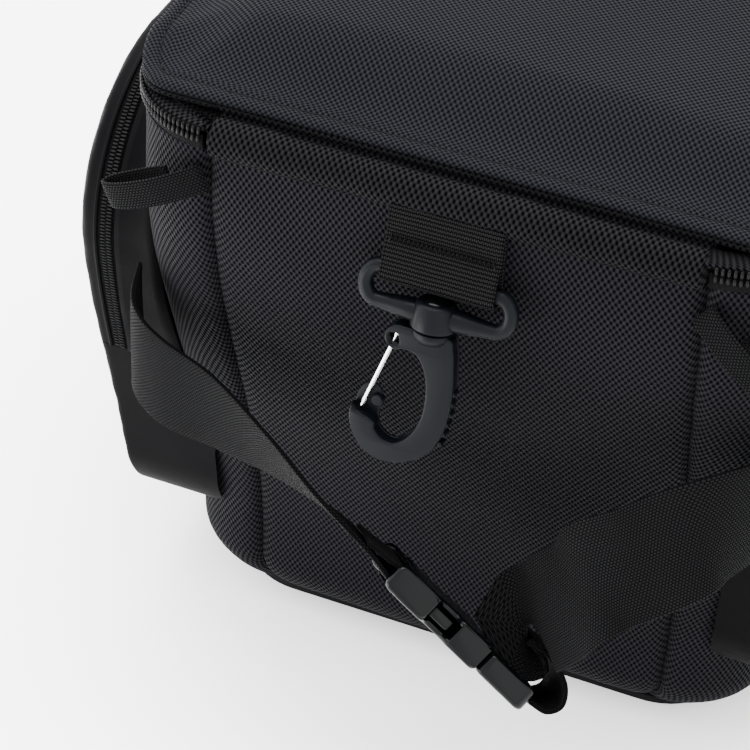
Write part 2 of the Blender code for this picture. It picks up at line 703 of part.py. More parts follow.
def buckle():
    """A side-release buckle: local X runs from the receiver to the plug, Y across its width."""
    place = buckle_frame()
    length = 42 * MM

    def at(x, y=0.0, z=0.0):
        return place @ Matrix.Translation((x, y, z))

    shell = box("buckle_receiver", (length, BUCKLE_W, BUCKLE_T), "buckle", at(length / 2), bevel=2.5 * MM)
    cavity = box("cavity", (length - 9 * MM, 42 * MM, 7 * MM), "buckle", at(length / 2 + 8 * MM))
    boolean(shell, cavity, "DIFFERENCE")
    windows = box("windows", (13 * MM, 60 * MM, 7.4 * MM), "buckle", at(22 * MM))
    boolean(shell, windows, "DIFFERENCE")
    for x in (3.6, 8.6):
        slot = box("receiver_slot", (2.6 * MM, 39 * MM, 30 * MM), "buckle", at(x * MM))
        boolean(shell, slot, "DIFFERENCE")

    plug = box("buckle_plug", (21 * MM, BUCKLE_W, 11 * MM), "buckle", at(length + GAP + 10.5 * MM), bevel=2 * MM)
    for x in (9.0, 15.6):
        slot = box("plug_slot", (2.8 * MM, 39 * MM, 30 * MM), "buckle", at(length + x * MM + 1 * MM))
        boolean(plug, slot, "DIFFERENCE")
    tongue = box("tongue", (30 * MM, 6 * MM, 5 * MM), "buckle", at(length - 12 * MM))
    boolean(plug, tongue, "UNION")
    for sign in (-1, 1):
        arm = [(3, 15.5), (-14.5, 17.0), (-15, 20.6), (-23.5, 20.6), (-28.5, 15.0), (-27, 12.6), (-14, 13.4), (3, 11.5)]
        points = [((42 + x) * MM, sign * y * MM) for x, y in arm]
        prong = plate("arm", points[::sign], 5 * MM, "buckle", place)
        boolean(plug, prong, "UNION")
    set_origin(plug, place @ Vector((length, 0, 0)))


def rear_straps():
    width_dir = buckle_frame().to_3x3() @ Vector((0, 1, 0))
    upright = Vector((0, 0, 1))
    start = buckle_frame() @ Vector((-0.8 * MM, 0, 0)) / MM
    left = [
        ((-118.4, -110.4, 147), upright),
        ((-112, -129, 144.5), upright),
        ((-98.6, -138.5, 140), upright),
        ((-77, -143, 137), upright.lerp(width_dir, 0.2)),
        ((-54, -149, 132), upright.lerp(width_dir, 0.55)),
        ((-34, -154, 124), upright.lerp(width_dir, 0.85)),
        ((-20, -155.5, 115.6), width_dir),
        (start, width_dir),
    ]
    ribbon("left_rear_strap", left, WEB_WIDTH, WEB_THICK, "webbing", steps=3)
    lean = Vector((-0.1, 0.35, 0.93))
    turned = [buckle_frame() @ (Vector((x, 0, z)) * MM) / MM
              for x, z in ((50, -16), (60, -16), (69, -13), (73.5, -7), (71, -1.5), (64.6, 0))]
    right = [
        ((118.4, -110.4, 158), upright),
        ((113, -131, 158), upright.lerp(lean, 0.4)),
        ((98, -152, 157), lean),
        ((81, -161, 146), lean),
        ((67.5, -164, 136), lean),
        ((59, -163, 122), lean),
        ((50, -158.5, 107), lean.lerp(width_dir, 0.4)),
    ]
    right += [(point, width_dir) for point in turned]
    ribbon("right_rear_strap", right, WEB_WIDTH, WEB_THICK, "webbing", steps=3)


clear_scene()
PARTS = make_collection("tail_bag")
CUTTERS = make_collection("cutters")
MATERIALS = make_materials()
body_walls()
body_inside()
hinge_band()
tab_loops()
anchor_loops()
lid_parts()
carry_handle()
lid_sliders()
pockets()
hook_webbing()
hook_parts()
buckle()
rear_straps()
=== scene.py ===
import math

import bmesh
import bpy
import numpy as np
from mathutils import Matrix, Vector, noise


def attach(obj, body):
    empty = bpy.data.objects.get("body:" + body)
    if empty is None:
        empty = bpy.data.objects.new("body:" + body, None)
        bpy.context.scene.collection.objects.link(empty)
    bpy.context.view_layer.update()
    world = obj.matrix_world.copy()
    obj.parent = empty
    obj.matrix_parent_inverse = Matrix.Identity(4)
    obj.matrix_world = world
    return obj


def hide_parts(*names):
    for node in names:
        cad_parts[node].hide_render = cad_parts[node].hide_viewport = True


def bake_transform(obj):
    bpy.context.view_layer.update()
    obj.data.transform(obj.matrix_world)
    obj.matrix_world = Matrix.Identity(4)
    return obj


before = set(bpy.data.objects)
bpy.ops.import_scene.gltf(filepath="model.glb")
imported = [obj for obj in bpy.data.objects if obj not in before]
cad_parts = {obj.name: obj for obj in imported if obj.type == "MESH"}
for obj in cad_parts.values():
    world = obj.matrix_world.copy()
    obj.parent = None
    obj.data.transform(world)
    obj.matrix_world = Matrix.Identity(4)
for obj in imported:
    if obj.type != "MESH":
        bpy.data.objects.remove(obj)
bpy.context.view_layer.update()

MM = 0.001
UP = (0, 0, 1)
SIDES = (("left", -1), ("right", 1))

# Angles above which an edge is shaded sharp
TURNED_SHARP = math.radians(35)
PLATE_SHARP = math.radians(40)

# Sizes shared with the CAD model, in metres
BODY_HALF_X = 116 * MM
BODY_HALF_Y = 135 * MM
CORNER_R = 34 * MM
WALL_TOP = 237 * MM
WALL_LOW = 4 * MM
BOTTOM_R = 22 * MM
REAR_INSET, FRONT_INSET, SIDE_INSET = 40 * MM, 20 * MM, 3 * MM
SEAM_X = BODY_HALF_X - CORNER_R
LID_REAR_Y = -121.5 * MM
ZIP_Z = 243 * MM
POCKET_HALF_Y = 108 * MM
POCKET_LOW, POCKET_SPLIT, POCKET_TOP = 36 * MM, 114 * MM, 219 * MM
POCKET_DEPTH = 33 * MM
POCKET_TAPER = 0.34
POCKET_TOP_R, POCKET_LOW_R = 62 * MM, 26 * MM
HOOK_TILT = math.radians(14)
HOOK_CENTRE = Vector((0.5, -143.0, 204.7)) * MM
BAIL_RISE, BAIL_HALF, BAIL_END = 12 * MM, 24.2 * MM, 4.6 * MM
WEB_WIDTH, WEB_THICK = 38 * MM, 1.6 * MM
BUCKLE_START = Vector((-6.6, -155.2, 106.2)) * MM
BUCKLE_END = Vector((48.4, -157.2, 65.2)) * MM
BUCKLE_WIDTH_DIR = Vector((0.26, -0.72, 0.64))

# Sizes of the visual model alone
GUSSET_EXTRA = 4.6 * MM
BODY_ZIP_REAR_Y = -136 * MM
LID_ZIP_PITCH, POCKET_ZIP_PITCH = 1.9 * MM, 1.3 * MM
LID_TOOTH = (1.35 * MM, 1.5 * MM, 2.6 * MM)
POCKET_TOOTH = (0.95 * MM, 1.3 * MM, 2.5 * MM)
CENTRE_SCALE = 0.0008
CORNER_STEPS = 4
EDGE_TURNS = 5


# ---------------------------------------------------------------- small tools

def smoothstep(t):
    t = np.clip(t, 0.0, 1.0)
    return t * t * (3 - 2 * t)


def wobble(points, size, seed=0.0):
    """Smooth noise from -1 to 1 at each of an array of points, with features about size across."""
    flat = points.reshape(-1, 3) / size
    values = [noise.noise(Vector(p) + Vector((seed, seed * 1.7, -seed))) for p in flat]
    return np.array(values).reshape(points.shape[:-1])


def arc_lengths(points, axis):
    """Running length along one axis of a grid of points."""
    steps = np.linalg.norm(np.diff(points, axis=axis), axis=-1)
    pad = np.zeros_like(np.take(steps, [0], axis=axis))
    return np.concatenate([pad, np.cumsum(steps, axis=axis)], axis=axis)


def cloth_uv(points, centred=True):
    """UVs in metres that follow the cloth: across from the middle of each row, and down each column."""
    across = arc_lengths(points, 1)
    if centred:
        across = across - across[:, -1:] / 2
    down = arc_lengths(points, 0)
    return np.stack([across, -down], axis=-1)


def grid_object(name, points, uv, material, closed=False, flip=False):
    """An open sheet of quads through a grid of points, with its cloth UVs."""
    rows, cols = points.shape[:2]
    if closed:
        points = np.concatenate([points, points[:, :1]], axis=1)
        uv = np.concatenate([uv, uv[:, :1] + (uv[:, -1:] - uv[:, -2:-1])], axis=1)
        cols += 1
    index = np.arange(rows * cols).reshape(rows, cols)
    if closed:
        index[:, -1] = index[:, 0]
    quads = np.stack([index[:-1, :-1], index[:-1, 1:], index[1:, 1:], index[1:, :-1]], axis=-1)
    corner_uv = np.stack([uv[:-1, :-1], uv[:-1, 1:], uv[1:, 1:], uv[1:, :-1]], axis=2)
    quads, corner_uv = quads.reshape(-1, 4), corner_uv.reshape(-1, 4, 2)
    if flip:
        quads, corner_uv = quads[:, ::-1], corner_uv[:, ::-1]
    mesh = bpy.data.meshes.new(name)
    mesh.from_pydata(points.reshape(-1, 3).tolist(), [], quads.tolist())
    layer = mesh.uv_layers.new(name="cloth")
    layer.data.foreach_set("uv", corner_uv.reshape(-1))
    if closed:
        drop_loose(mesh)
    return mesh_object(name, mesh, material)


def drop_loose(mesh):
    bm = bmesh.new()
    bm.from_mesh(mesh)
    bmesh.ops.delete(bm, geom=[v for v in bm.verts if not v.link_faces], context="VERTS")
    bm.to_mesh(mesh)
    bm.free()


def mesh_object(name, mesh, material, smooth=True):
    mesh.materials.append(material)
    if smooth:
        mesh.shade_smooth()
    obj = bpy.data.objects.new(name, mesh)
    bpy.context.scene.collection.objects.link(obj)
    return obj


def bmesh_object(name, bm, material, matrix):
    mesh = bpy.data.meshes.new(name)
    bm.to_mesh(mesh)
    bm.free()
    obj = mesh_object(name, mesh, material)
    mesh.set_sharp_from_angle(angle=TURNED_SHARP)
    mesh.transform(matrix)
    return obj


def thicken(obj, thickness, offset):
    mod = obj.modifiers.new("thickness", "SOLIDIFY")
    mod.thickness = thickness
    mod.offset = offset


def place(obj, body, slot, *nodes, fill=None):
    """Say which body a piece rides on and which nodes it stands for; slot and fill are not used."""
    if body:
        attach(obj, body)
    if nodes:
        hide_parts(*nodes)
        obj.name = nodes[0] + "_visual"


def smooth_path(points, steps, closed=False):
    """Catmull-Rom points through a short list of vectors."""
    points = [Vector(p) for p in points]
    if closed:
        ends = [points[-1]] + points + points[:2]
    else:
        ends = [2 * points[0] - points[1]] + points + [2 * points[-1] - points[-2]]
    path = []
    for a, b, c, d in zip(ends, ends[1:], ends[2:], ends[3:]):
        for step in range(steps):
            t = step / steps
            path.append(0.5 * (2 * b + (c - a) * t + (2 * a - 5 * b + 4 * c - d) * t ** 2
                               + (3 * b - a - 3 * c + d) * t ** 3))
    if not closed:
        path.append(points[-1])
    return path


def axes_at(origin, x_axis, y_axis):
    x = Vector(x_axis).normalized()
    z = x.cross(Vector(y_axis)).normalized()
    y = z.cross(x)
    return Matrix.Translation(origin) @ Matrix((x, y, z)).transposed().to_4x4()


# ---------------------------------------------------------------- materials

class Net:
    """A material under construction, with short names for its nodes."""

    def __init__(self, name, colour, roughness, metallic=0.0):
        self.material = bpy.data.materials.new(name)
        self.material.use_nodes = True
        self.tree = self.material.node_tree
        self.shader = self.tree.nodes["Principled BSDF"]
        self.shader.inputs["Base Color"].default_value = (*colour, 1)
        self.shader.inputs["Roughness"].default_value = roughness
        self.shader.inputs["Metallic"].default_value = metallic

    def node(self, kind, **settings):
        made = self.tree.nodes.new("ShaderNode" + kind)
        for key, value in settings.items():
            setattr(made, key, value)
        return made

    def link(self, source, target):
        self.tree.links.new(source, target)

    def math(self, operation, *values):
        made = self.node("Math", operation=operation)
        for socket, value in zip(made.inputs, values):
            if isinstance(value, (int, float)):
                socket.default_value = value
            else:
                self.link(value, socket)
        return made.outputs[0]

    def uv(self):
        split = self.node("SeparateXYZ")
        self.link(self.node("UVMap", uv_map="cloth").outputs[0], split.inputs[0])
        return split.outputs[0], split.outputs[1]

    def noise(self, scale, detail, roughness=0.5):
        made = self.node("TexNoise")
        made.inputs["Scale"].default_value = scale
        made.inputs["Detail"].default_value = detail
        made.inputs["Roughness"].default_value = roughness
        self.link(self.node("TexCoord").outputs["Object"], made.inputs["Vector"])
        return made.outputs["Fac"]

    def ramp(self, fac, stops):
        made = self.node("ValToRGB")
        elements = made.color_ramp.elements
        while len(elements) < len(stops):
            elements.new(0.5)
        for element, (at, colour) in zip(elements, stops):
            element.position = at
            element.color = (*colour, 1)
        self.link(fac, made.inputs[0])
        return made.outputs[0]

    def colour(self, source):
        self.link(source, self.shader.inputs["Base Color"])

    def bump(self, height, distance, strength):
        made = self.node("Bump")
        made.inputs["Distance"].default_value = distance
        made.inputs["Strength"].default_value = strength
        self.link(height, made.inputs["Height"])
        self.link(made.outputs[0], self.shader.inputs["Normal"])

    def gloss(self, height, level):
        """Shine on the yarns' crowns and none in the gaps between them."""
        shine = self.ramp(height, [(0.25, (0, 0, 0)), (0.85, (level, level, level))])
        self.link(shine, self.shader.inputs["Specular IOR Level"])

    def set(self, name, value):
        self.shader.inputs[name].default_value = value


def basket_height(net, pitch_u, pitch_v):
    """Height from 0 to 1 of a plain weave: a crown at every second yarn crossing, and a gap between them."""
    u, v = net.uv()
    drift = net.math("MULTIPLY", net.math("SUBTRACT", net.noise(60, 2), 0.5), 0.5)
    u = net.math("ADD", net.math("DIVIDE", u, pitch_u), drift)
    v = net.math("ADD", net.math("DIVIDE", v, pitch_v), drift)
    wave_u = net.math("SINE", net.math("MULTIPLY", u, math.pi))
    wave_v = net.math("SINE", net.math("MULTIPLY", v, math.pi))
    return net.math("MULTIPLY_ADD", net.math("MULTIPLY", wave_u, wave_v), 0.5, 0.5)


def basket_fabric(name, dark, light, pitch_u=1.04 * MM, pitch_v=1.58 * MM, bump=0.35 * MM):
    net = Net(name, light, 0.72)
    height = basket_height(net, pitch_u, pitch_v)
    # The weave's colour is painted light: painted shade in the gaps between the yarns and a painted highlight
    # on their crowns. The patches add real tone that differs at random.
    patches = net.math("MULTIPLY", net.noise(14, 4), 0.5)
    tone = net.math("MULTIPLY", height, net.math("ADD", patches, 0.75))
    net.colour(net.ramp(tone, [(0.18, dark), (0.62, light)]))
    net.gloss(height, 0.055)
    net.bump(height, bump, 1.0)
    net.set("Sheen Weight", 0.004)
    net.set("Sheen Roughness", 0.45)
    return net.material


def webbing_material(name, dark, light, rib, column, bump=0.3 * MM, stagger=0.5):
    """Flat woven tape: ribs across its width, with fine columns along its length."""
    net = Net(name, light, 0.78)
    u, v = net.uv()
    drift = net.math("MULTIPLY", net.math("SUBTRACT", net.noise(120, 2), 0.5), 0.35)
    columns = net.math("DIVIDE", u, column)
    parity = net.math("FLOORED_MODULO", net.math("FLOOR", columns), 2.0)
    shifted = net.math("ADD", net.math("DIVIDE", v, rib), net.math("MULTIPLY", parity, stagger))
    rows = net.math("ADD", shifted, drift)
    rib_wave = net.math("ABSOLUTE", net.math("SINE", net.math("MULTIPLY", rows, math.pi)))
    column_wave = net.math("ABSOLUTE", net.math("SINE", net.math("MULTIPLY", columns, math.pi)))
    height = net.math("MULTIPLY", net.math("POWER", rib_wave, 0.7), net.math("POWER", column_wave, 0.5))
    # The tape's colour is painted light: painted shade in the gaps between ribs and columns and a painted
    # highlight on the crowns, times noise that varies the tone at random.
    tone = net.math("MULTIPLY", height, net.math("ADD", net.math("MULTIPLY", net.noise(30, 3), 0.5), 0.75))
    net.colour(net.ramp(tone, [(0.25, dark), (0.9, light)]))
    net.gloss(height, 0.05)
    net.bump(height, bump, 1.0)
    net.set("Sheen Weight", 0.003)
    net.set("Sheen Roughness", 0.5)
    return net.material


def fine_fabric(name, dark, light, pitch=0.45 * MM):
    net = Net(name, light, 0.6)
    height = basket_height(net, pitch, pitch)
    folds = net.noise(55, 4)
    # Painted shade: the colour is darker in the weave's gaps and in the hollows of the same folds that the
    # bump draws.
    tone = net.math("ADD", net.math("MULTIPLY", height, 0.45), net.math("MULTIPLY", folds, 0.55))
    net.colour(net.ramp(tone, [(0.1, dark), (0.9, light)]))
    crease = net.math("ADD", net.math("MULTIPLY", height, 0.12), folds)
    net.bump(crease, 0.8 * MM, 0.5)
    net.set("Sheen Weight", 0.004)
    net.set("Sheen Roughness", 0.35)
    net.set("Specular IOR Level", 0.02)
    return net.material


def moulded(name, colour, roughness, grain=900, depth=0.02 * MM, scratch=0.12, shine=0.06):
    """Moulded plastic with a fine grain, handling marks and slightly varied gloss."""
    net = Net(name, colour, roughness)
    grain_height = net.noise(grain, 4)
    marks = net.noise(140, 6, roughness=0.7)
    net.link(net.ramp(marks, [(0.3, (roughness - scratch,) * 3), (0.75, (roughness + scratch,) * 3)]),
             net.shader.inputs["Roughness"])
    darker, lighter = (tuple(c * shade for c in colour) for shade in (0.85, 1.15))
    net.colour(net.ramp(net.noise(60, 3), [(0.3, darker), (0.7, lighter)]))
    net.bump(grain_height, depth, 0.6)
    net.set("Specular IOR Level", shine)
    return net.material


def metal(name, colour, roughness):
    net = Net(name, colour, roughness, 1.0)
    marks = net.noise(400, 5, roughness=0.7)
    net.link(net.ramp(marks, [(0.3, (roughness * 0.6,) * 3), (0.8, (roughness * 1.5,) * 3)]),
             net.shader.inputs["Roughness"])
    net.bump(marks, 0.015 * MM, 0.5)
    return net.material


def thread_material(name, colour):
    net = Net(name, colour, 0.6)
    net.set("Specular IOR Level", 0.05)
    twist = net.noise(1500, 2)
    # Painted shade: the colour is darker in the hollows of the twist that the bump draws.
    net.colour(net.ramp(twist, [(0.3, tuple(c * 0.6 for c in colour)), (0.7, colour)]))
    net.bump(twist, 0.05 * MM, 0.6)
    return net.material


# In the fabrics, webbings and tapes below, the darker colour is painted shade in the gaps and hollows of the
# cloth and the lighter one its lit yarn tops.
FABRIC = basket_fabric("basket_weave", (0.0007, 0.0007, 0.0010), (0.0033, 0.0031, 0.0042))
LID_FABRIC = basket_fabric("lid_weave", (0.0012, 0.0012, 0.0015), (0.0040, 0.0042, 0.0054),
                           0.97 * MM, 0.94 * MM)
BAND_FABRIC = basket_fabric("band_weave", (0.0004, 0.0004, 0.0005), (0.0024, 0.0023, 0.0028))
POCKET_FABRIC = fine_fabric("pocket_cloth", (0.0003, 0.0003, 0.0004), (0.0011, 0.0011, 0.0014))
BINDING = fine_fabric("binding_cloth", (0.0003, 0.0003, 0.0004), (0.0014, 0.0014, 0.0017))
WEBBING = webbing_material("strap_webbing", (0.0008, 0.0008, 0.0009), (0.0024, 0.0024, 0.0027),
                           1.2 * MM, 0.9 * MM)
HOOK_WEBBING = webbing_material("hook_webbing_cloth", (0.0001, 0.0001, 0.0001), (0.0043, 0.0042, 0.0045),
                                1.35 * MM, 0.62 * MM, 0.6 * MM, 0.14)
TAPE = webbing_material("zip_tape_cloth", (0.0002, 0.0002, 0.0002), (0.0013, 0.0013, 0.0015),
                        0.6 * MM, 0.5 * MM, 0.1 * MM)
TEETH = moulded("zip_coil", (0.0012, 0.0012, 0.0014), 0.36, scratch=0.08, shine=0.05)
HOOK_PLASTIC = moulded("hook_plastic", (0.0011, 0.0014, 0.0021), 0.40, shine=0.05)
BUCKLE_PLASTIC = moulded("buckle_plastic", (0.0007, 0.0008, 0.0010), 0.18, scratch=0.05, shine=0.07)
RUBBER = moulded("base_rubber", (0.0012, 0.0012, 0.0014), 0.62, grain=500, depth=0.1 * MM, shine=0.05)
STEEL = metal("gate_steel", (0.62, 0.62, 0.62), 0.16)
SLIDER_METAL = metal("slider_black", (0.012, 0.012, 0.013), 0.38)
LINING = fine_fabric("lining_cloth", (0.015, 0.015, 0.017), (0.034, 0.034, 0.038), 0.5 * MM)
THREAD = thread_material("thread", (0.0020, 0.0020, 0.0023))


# ---------------------------------------------------------------- shared shapes

def turned_under(z):
    """How far round the bottom edge a height is: 0 above it and 1 at its lowest."""
    return min(max(WALL_LOW + BOTTOM_R - z, 0) / BOTTOM_R, 1)


def insets(z):
    """How far the rear, front and side walls have moved in at a height, with the round bottom edge."""
    drop = WALL_TOP - z
    below = turned_under(z)
    turn = BOTTOM_R * (1 - math.sqrt(1 - below * below))
    rear = REAR_INSET * float(smoothstep((drop - 0.010) / 0.190))
    front = FRONT_INSET * float(smoothstep((drop - 0.020) / 0.200))
    side = SIDE_INSET * float(smoothstep((drop - 0.040) / 0.180))
    return rear + turn, front + turn, side + turn, turn


def wall_span(panel, z, cols, offset=0.0):
    """Points along one wall at a height, from seam to seam, with outward directions and the wall's length."""
    rear, front, side, turn = insets(z)
    half = BODY_HALF_X - side - offset
    r = CORNER_R - 0.5 * turn - offset
    low, high = -(BODY_HALF_Y - rear - offset), BODY_HALF_Y - front - offset
    t = np.linspace(0, 1, cols)
    if panel in ("rear", "front"):
        sign = -1 if panel == "rear" else 1
        x = (1 - 2 * t) * (half - r) * sign
        y = np.full(cols, low if panel == "rear" else high)
        out = np.stack([np.zeros(cols), np.full(cols, float(sign))], axis=1)
        length = 2 * (half - r)
    else:
        sign = 1 if panel == "right" else -1
        quarter = math.pi / 2 * r
        straight = high - low - 2 * r
        length = 2 * quarter + straight
        s = t * length
        angle = np.clip(s / r, 0, math.pi / 2) + np.clip((s - quarter - straight) / r, 0, None) - math.pi / 2
        x = sign * (half - r + r * np.cos(angle))
        y = low + r + np.clip(s - quarter, 0, straight) + r * np.sin(angle)
        out = np.stack([sign * np.cos(angle), np.sin(angle)], axis=1)
    points = np.stack([x, y, np.full(cols, z)], axis=1)
    return points, out, length


def ring_points(cols, offset=0.0, z=WALL_TOP):
    """The whole outline at a height, from the rear-left seam round by +X, with outward directions."""
    dense, outs = [], []
    for panel in ("rear", "right", "front", "left"):
        points, out, _ = wall_span(panel, z, 400, offset)
        if panel == "left":
            points, out = points[::-1], out[::-1]
        dense.append(points[:-1])
        outs.append(out[:-1])
    dense, outs = np.concatenate(dense), np.concatenate(outs)
    loop = np.concatenate([dense, dense[:1]])
    run = np.concatenate([[0], np.cumsum(np.linalg.norm(np.diff(loop, axis=0), axis=1))])
    at = np.linspace(0, run[-1], cols, endpoint=False)
    points = np.stack([np.interp(at, run, loop[:, k]) for k in range(3)], axis=1)
    loop_out = np.concatenate([outs, outs[:1]])
    out = np.stack([np.interp(at, run, loop_out[:, k]) for k in range(2)], axis=1)
    return points, out / np.linalg.norm(out, axis=1, keepdims=True)


def sweep(name, centres, acrosses, width, thickness, material, cup=0.0, across_steps=14):
    """A woven strap with rounded edges along centres, its width along acrosses, with UVs that follow it."""
    half_w, half_t = width / 2, thickness / 2
    profile = [(x, half_t) for x in np.linspace(-half_w + half_t, half_w - half_t, across_steps)]
    for i in range(1, EDGE_TURNS):
        t = math.pi / 2 - math.pi * i / EDGE_TURNS
        profile.append((half_w - half_t + half_t * math.cos(t), half_t * math.sin(t)))
    profile += [(-x, -y) for x, y in profile]
    profile = np.array(profile)
    cupping = cup * (profile[:, 0] / half_w) ** 2
    rows, uv = [], []
    run = 0.0
    for i, (centre, across) in enumerate(zip(centres, acrosses)):
        ahead = centres[min(i + 1, len(centres) - 1)] - centres[max(i - 1, 0)]
        ahead.normalize()
        across = (across - ahead * across.dot(ahead)).normalized()
        face = ahead.cross(across)
        if i:
            run += (centre - centres[i - 1]).length
        row = [centre + across * x + face * (y + c) for (x, y), c in zip(profile, cupping)]
        rows.append([tuple(p) for p in row])
        uv.append([(x, run) for x, _ in profile])
    points, uv = np.array(rows), np.array(uv)
    obj = grid_object(name, points, uv, material, closed=True)
    close_ends(obj.data)
    return obj


def close_ends(mesh):
    bm = bmesh.new()
    bm.from_mesh(mesh)
    bmesh.ops.holes_fill(bm, edges=[e for e in bm.edges if e.is_boundary], sides=0)
    bmesh.ops.recalc_face_normals(bm, faces=bm.faces)
    bm.to_mesh(mesh)
    bm.free()


def ribbon(name, stations, width, thickness, material, steps=8, cup=0.0):
    centres = smooth_path([Vector(c) * MM for c, _ in stations], steps)
    widths = smooth_path([Vector(w) for _, w in stations], steps)
    return sweep(name, centres, widths, width, thickness, material, cup)


def tube(name, points, radius, material, matrix=None, cyclic=False, sides=12):
    """A round tube; radius is one number or one for each point."""
    radii = [radius] * len(points) if isinstance(radius, float) else radius
    curve = bpy.data.curves.new(name, "CURVE")
    curve.dimensions = "3D"
    curve.bevel_depth = 1.0
    curve.bevel_resolution = max(sides // 4, 1)
    curve.use_fill_caps = True
    spline = curve.splines.new("POLY")
    spline.points.add(len(points) - 1)
    for point, co, r in zip(spline.points, points, radii):
        point.co = (*co, 1)
        point.radius = r
    spline.use_cyclic_u = cyclic
    return curve_mesh(name, curve, material, matrix)


def plate(name, outlines, low, high, edge, material, matrix=None, rounds=3):
    """Flat outlines in the local XY plane, holes included, from low to high in Z, with rounded edges."""
    curve = bpy.data.curves.new(name, "CURVE")
    curve.dimensions = "2D"
    curve.fill_mode = "BOTH"
    curve.bevel_depth = edge
    curve.offset = -edge
    curve.bevel_resolution = rounds
    curve.extrude = (high - low) / 2 - edge
    for outline in outlines:
        spline = curve.splines.new("POLY")
        spline.points.add(len(outline) - 1)
        for point, co in zip(spline.points, outline):
            point.co = (co[0], co[1], 0, 1)
        spline.use_cyclic_u = True
    middle = Matrix.Translation((0, 0, (low + high) / 2))
    return curve_mesh(name, curve, material, (matrix or Matrix()) @ middle)


def curve_mesh(name, curve, material, matrix=None):
    source = bpy.data.objects.new(name + "_curve", curve)
    bpy.context.scene.collection.objects.link(source)
    bpy.context.view_layer.update()
    mesh = bpy.data.meshes.new_from_object(source.evaluated_get(bpy.context.evaluated_depsgraph_get()))
    bpy.data.objects.remove(source, do_unlink=True)
    bpy.data.curves.remove(curve)
    mesh.name = name
    mesh.materials.clear()
    bm = bmesh.new()
    bm.from_mesh(mesh)
    bmesh.ops.remove_doubles(bm, verts=bm.verts, dist=0.005 * MM)
    bmesh.ops.recalc_face_normals(bm, faces=bm.faces)
    bm.to_mesh(mesh)
    bm.free()
    if matrix is not None:
        mesh.transform(matrix)
    obj = mesh_object(name, mesh, material)
    mesh.set_sharp_from_angle(angle=PLATE_SHARP)
    return obj


def lathe(name, profile, material, matrix, steps=48):
    """A profile of (radius, height) turned about the local Z axis."""
    bm = bmesh.new()
    rings = []
    for radius, z in profile:
        turns = [2 * math.pi * i / steps for i in range(steps)]
        rings.append([bm.verts.new((radius * math.cos(t), radius * math.sin(t), z)) for t in turns])
    for a, b in zip(rings, rings[1:]):
        for i in range(steps):
            j = (i + 1) % steps
            bm.faces.new((a[i], a[j], b[j], b[i]))
    bm.faces.new(rings[0])
    bm.faces.new(rings[-1])
    bmesh.ops.remove_doubles(bm, verts=bm.verts, dist=0.001 * MM)
    bmesh.ops.recalc_face_normals(bm, faces=bm.faces)
    return bmesh_object(name, bm, material, matrix)


def lathe_mm(name, profile, material, matrix, steps=48):
    return lathe(name, [(radius * MM, z * MM) for radius, z in profile], material, matrix, steps)


def join(name, pieces):
    """Join meshes of one or more materials into one object."""
    bm = bmesh.new()
    materials = []
    for piece in pieces:
        material = piece.data.materials[0]
        if material not in materials:
            materials.append(material)
        before = len(bm.faces)
        bm.from_mesh(piece.data)
        bm.faces.ensure_lookup_table()
        for face in bm.faces[before:]:
            face.material_index = materials.index(material)
    mesh = bpy.data.meshes.new(name)
    bm.to_mesh(mesh)
    bm.free()
    for material in materials:
        mesh.materials.append(material)
    for piece in pieces:
        bpy.data.objects.remove(piece, do_unlink=True)
    mesh.set_sharp_from_angle(angle=PLATE_SHARP)
    obj = bpy.data.objects.new(name, mesh)
    bpy.context.scene.collection.objects.link(obj)
    return obj


def beads(name, frames, size, material, rings=5, around=8):
    """Many small rounded pills in one mesh. Each frame is (centre, long axis, side axis)."""
    bm = bmesh.new()
    bmesh.ops.create_uvsphere(bm, u_segments=around, v_segments=rings, radius=1)
    template = np.array([v.co[:] for v in bm.verts])
    stretch = np.sign(template[:, 2]) * np.minimum(np.abs(template[:, 2]) * 1.6, 1)
    template[:, 2] = stretch
    faces = [[v.index for v in f.verts] for f in bm.faces]
    bm.free()
    verts, polys = [], []
    for centre, along, side in frames:
        along = Vector(along).normalized()
        side = Vector(side)
        side = (side - along * side.dot(along)).normalized()
        third = along.cross(side)
        basis = np.array([side * size[0] / 2, third * size[1] / 2, along * size[2] / 2])
        start = len(verts) * len(template)
        verts.append(template @ basis + np.array(centre))
        polys.extend([[i + start for i in face] for face in faces])
    mesh = bpy.data.meshes.new(name)
    mesh.from_pydata(np.concatenate(verts).tolist(), [], polys)
    return mesh_object(name, mesh, material)


def along_path(points, spacing, start=0.0):
    """Evenly spaced (place, direction) along a dense path of points."""
    points = np.array([tuple(p) for p in points])
    run = np.concatenate([[0], np.cumsum(np.linalg.norm(np.diff(points, axis=0), axis=1))])
    at = np.arange(start + spacing / 2, run[-1] - spacing / 2, spacing)
    found = np.stack([np.interp(at, run, points[:, k]) for k in range(3)], axis=1)
    ahead = np.stack([np.interp(at + 0.3 * MM, run, points[:, k]) for k in range(3)], axis=1)
    behind = np.stack([np.interp(at - 0.3 * MM, run, points[:, k]) for k in range(3)], axis=1)
    return [(Vector(p), Vector(a) - Vector(b)) for p, a, b in zip(found, ahead, behind)]


def stitches(name, points, spacing, length, radius):
    """A row of sewn stitches along a dense path."""
    frames = [(centre, ahead, UP) for centre, ahead in along_path(points, spacing)]
    return beads(name, frames, (2 * radius, 2 * radius, length), THREAD, rings=6, around=6)


# ---------------------------------------------------------------- walls

def wall_heights():
    heights = list(np.arange(WALL_TOP, WALL_LOW + BOTTOM_R, -1.9 * MM))
    for degrees in range(0, 89, 6):
        heights.append(WALL_LOW + BOTTOM_R * (1 - math.sin(math.radians(degrees))))
    return heights


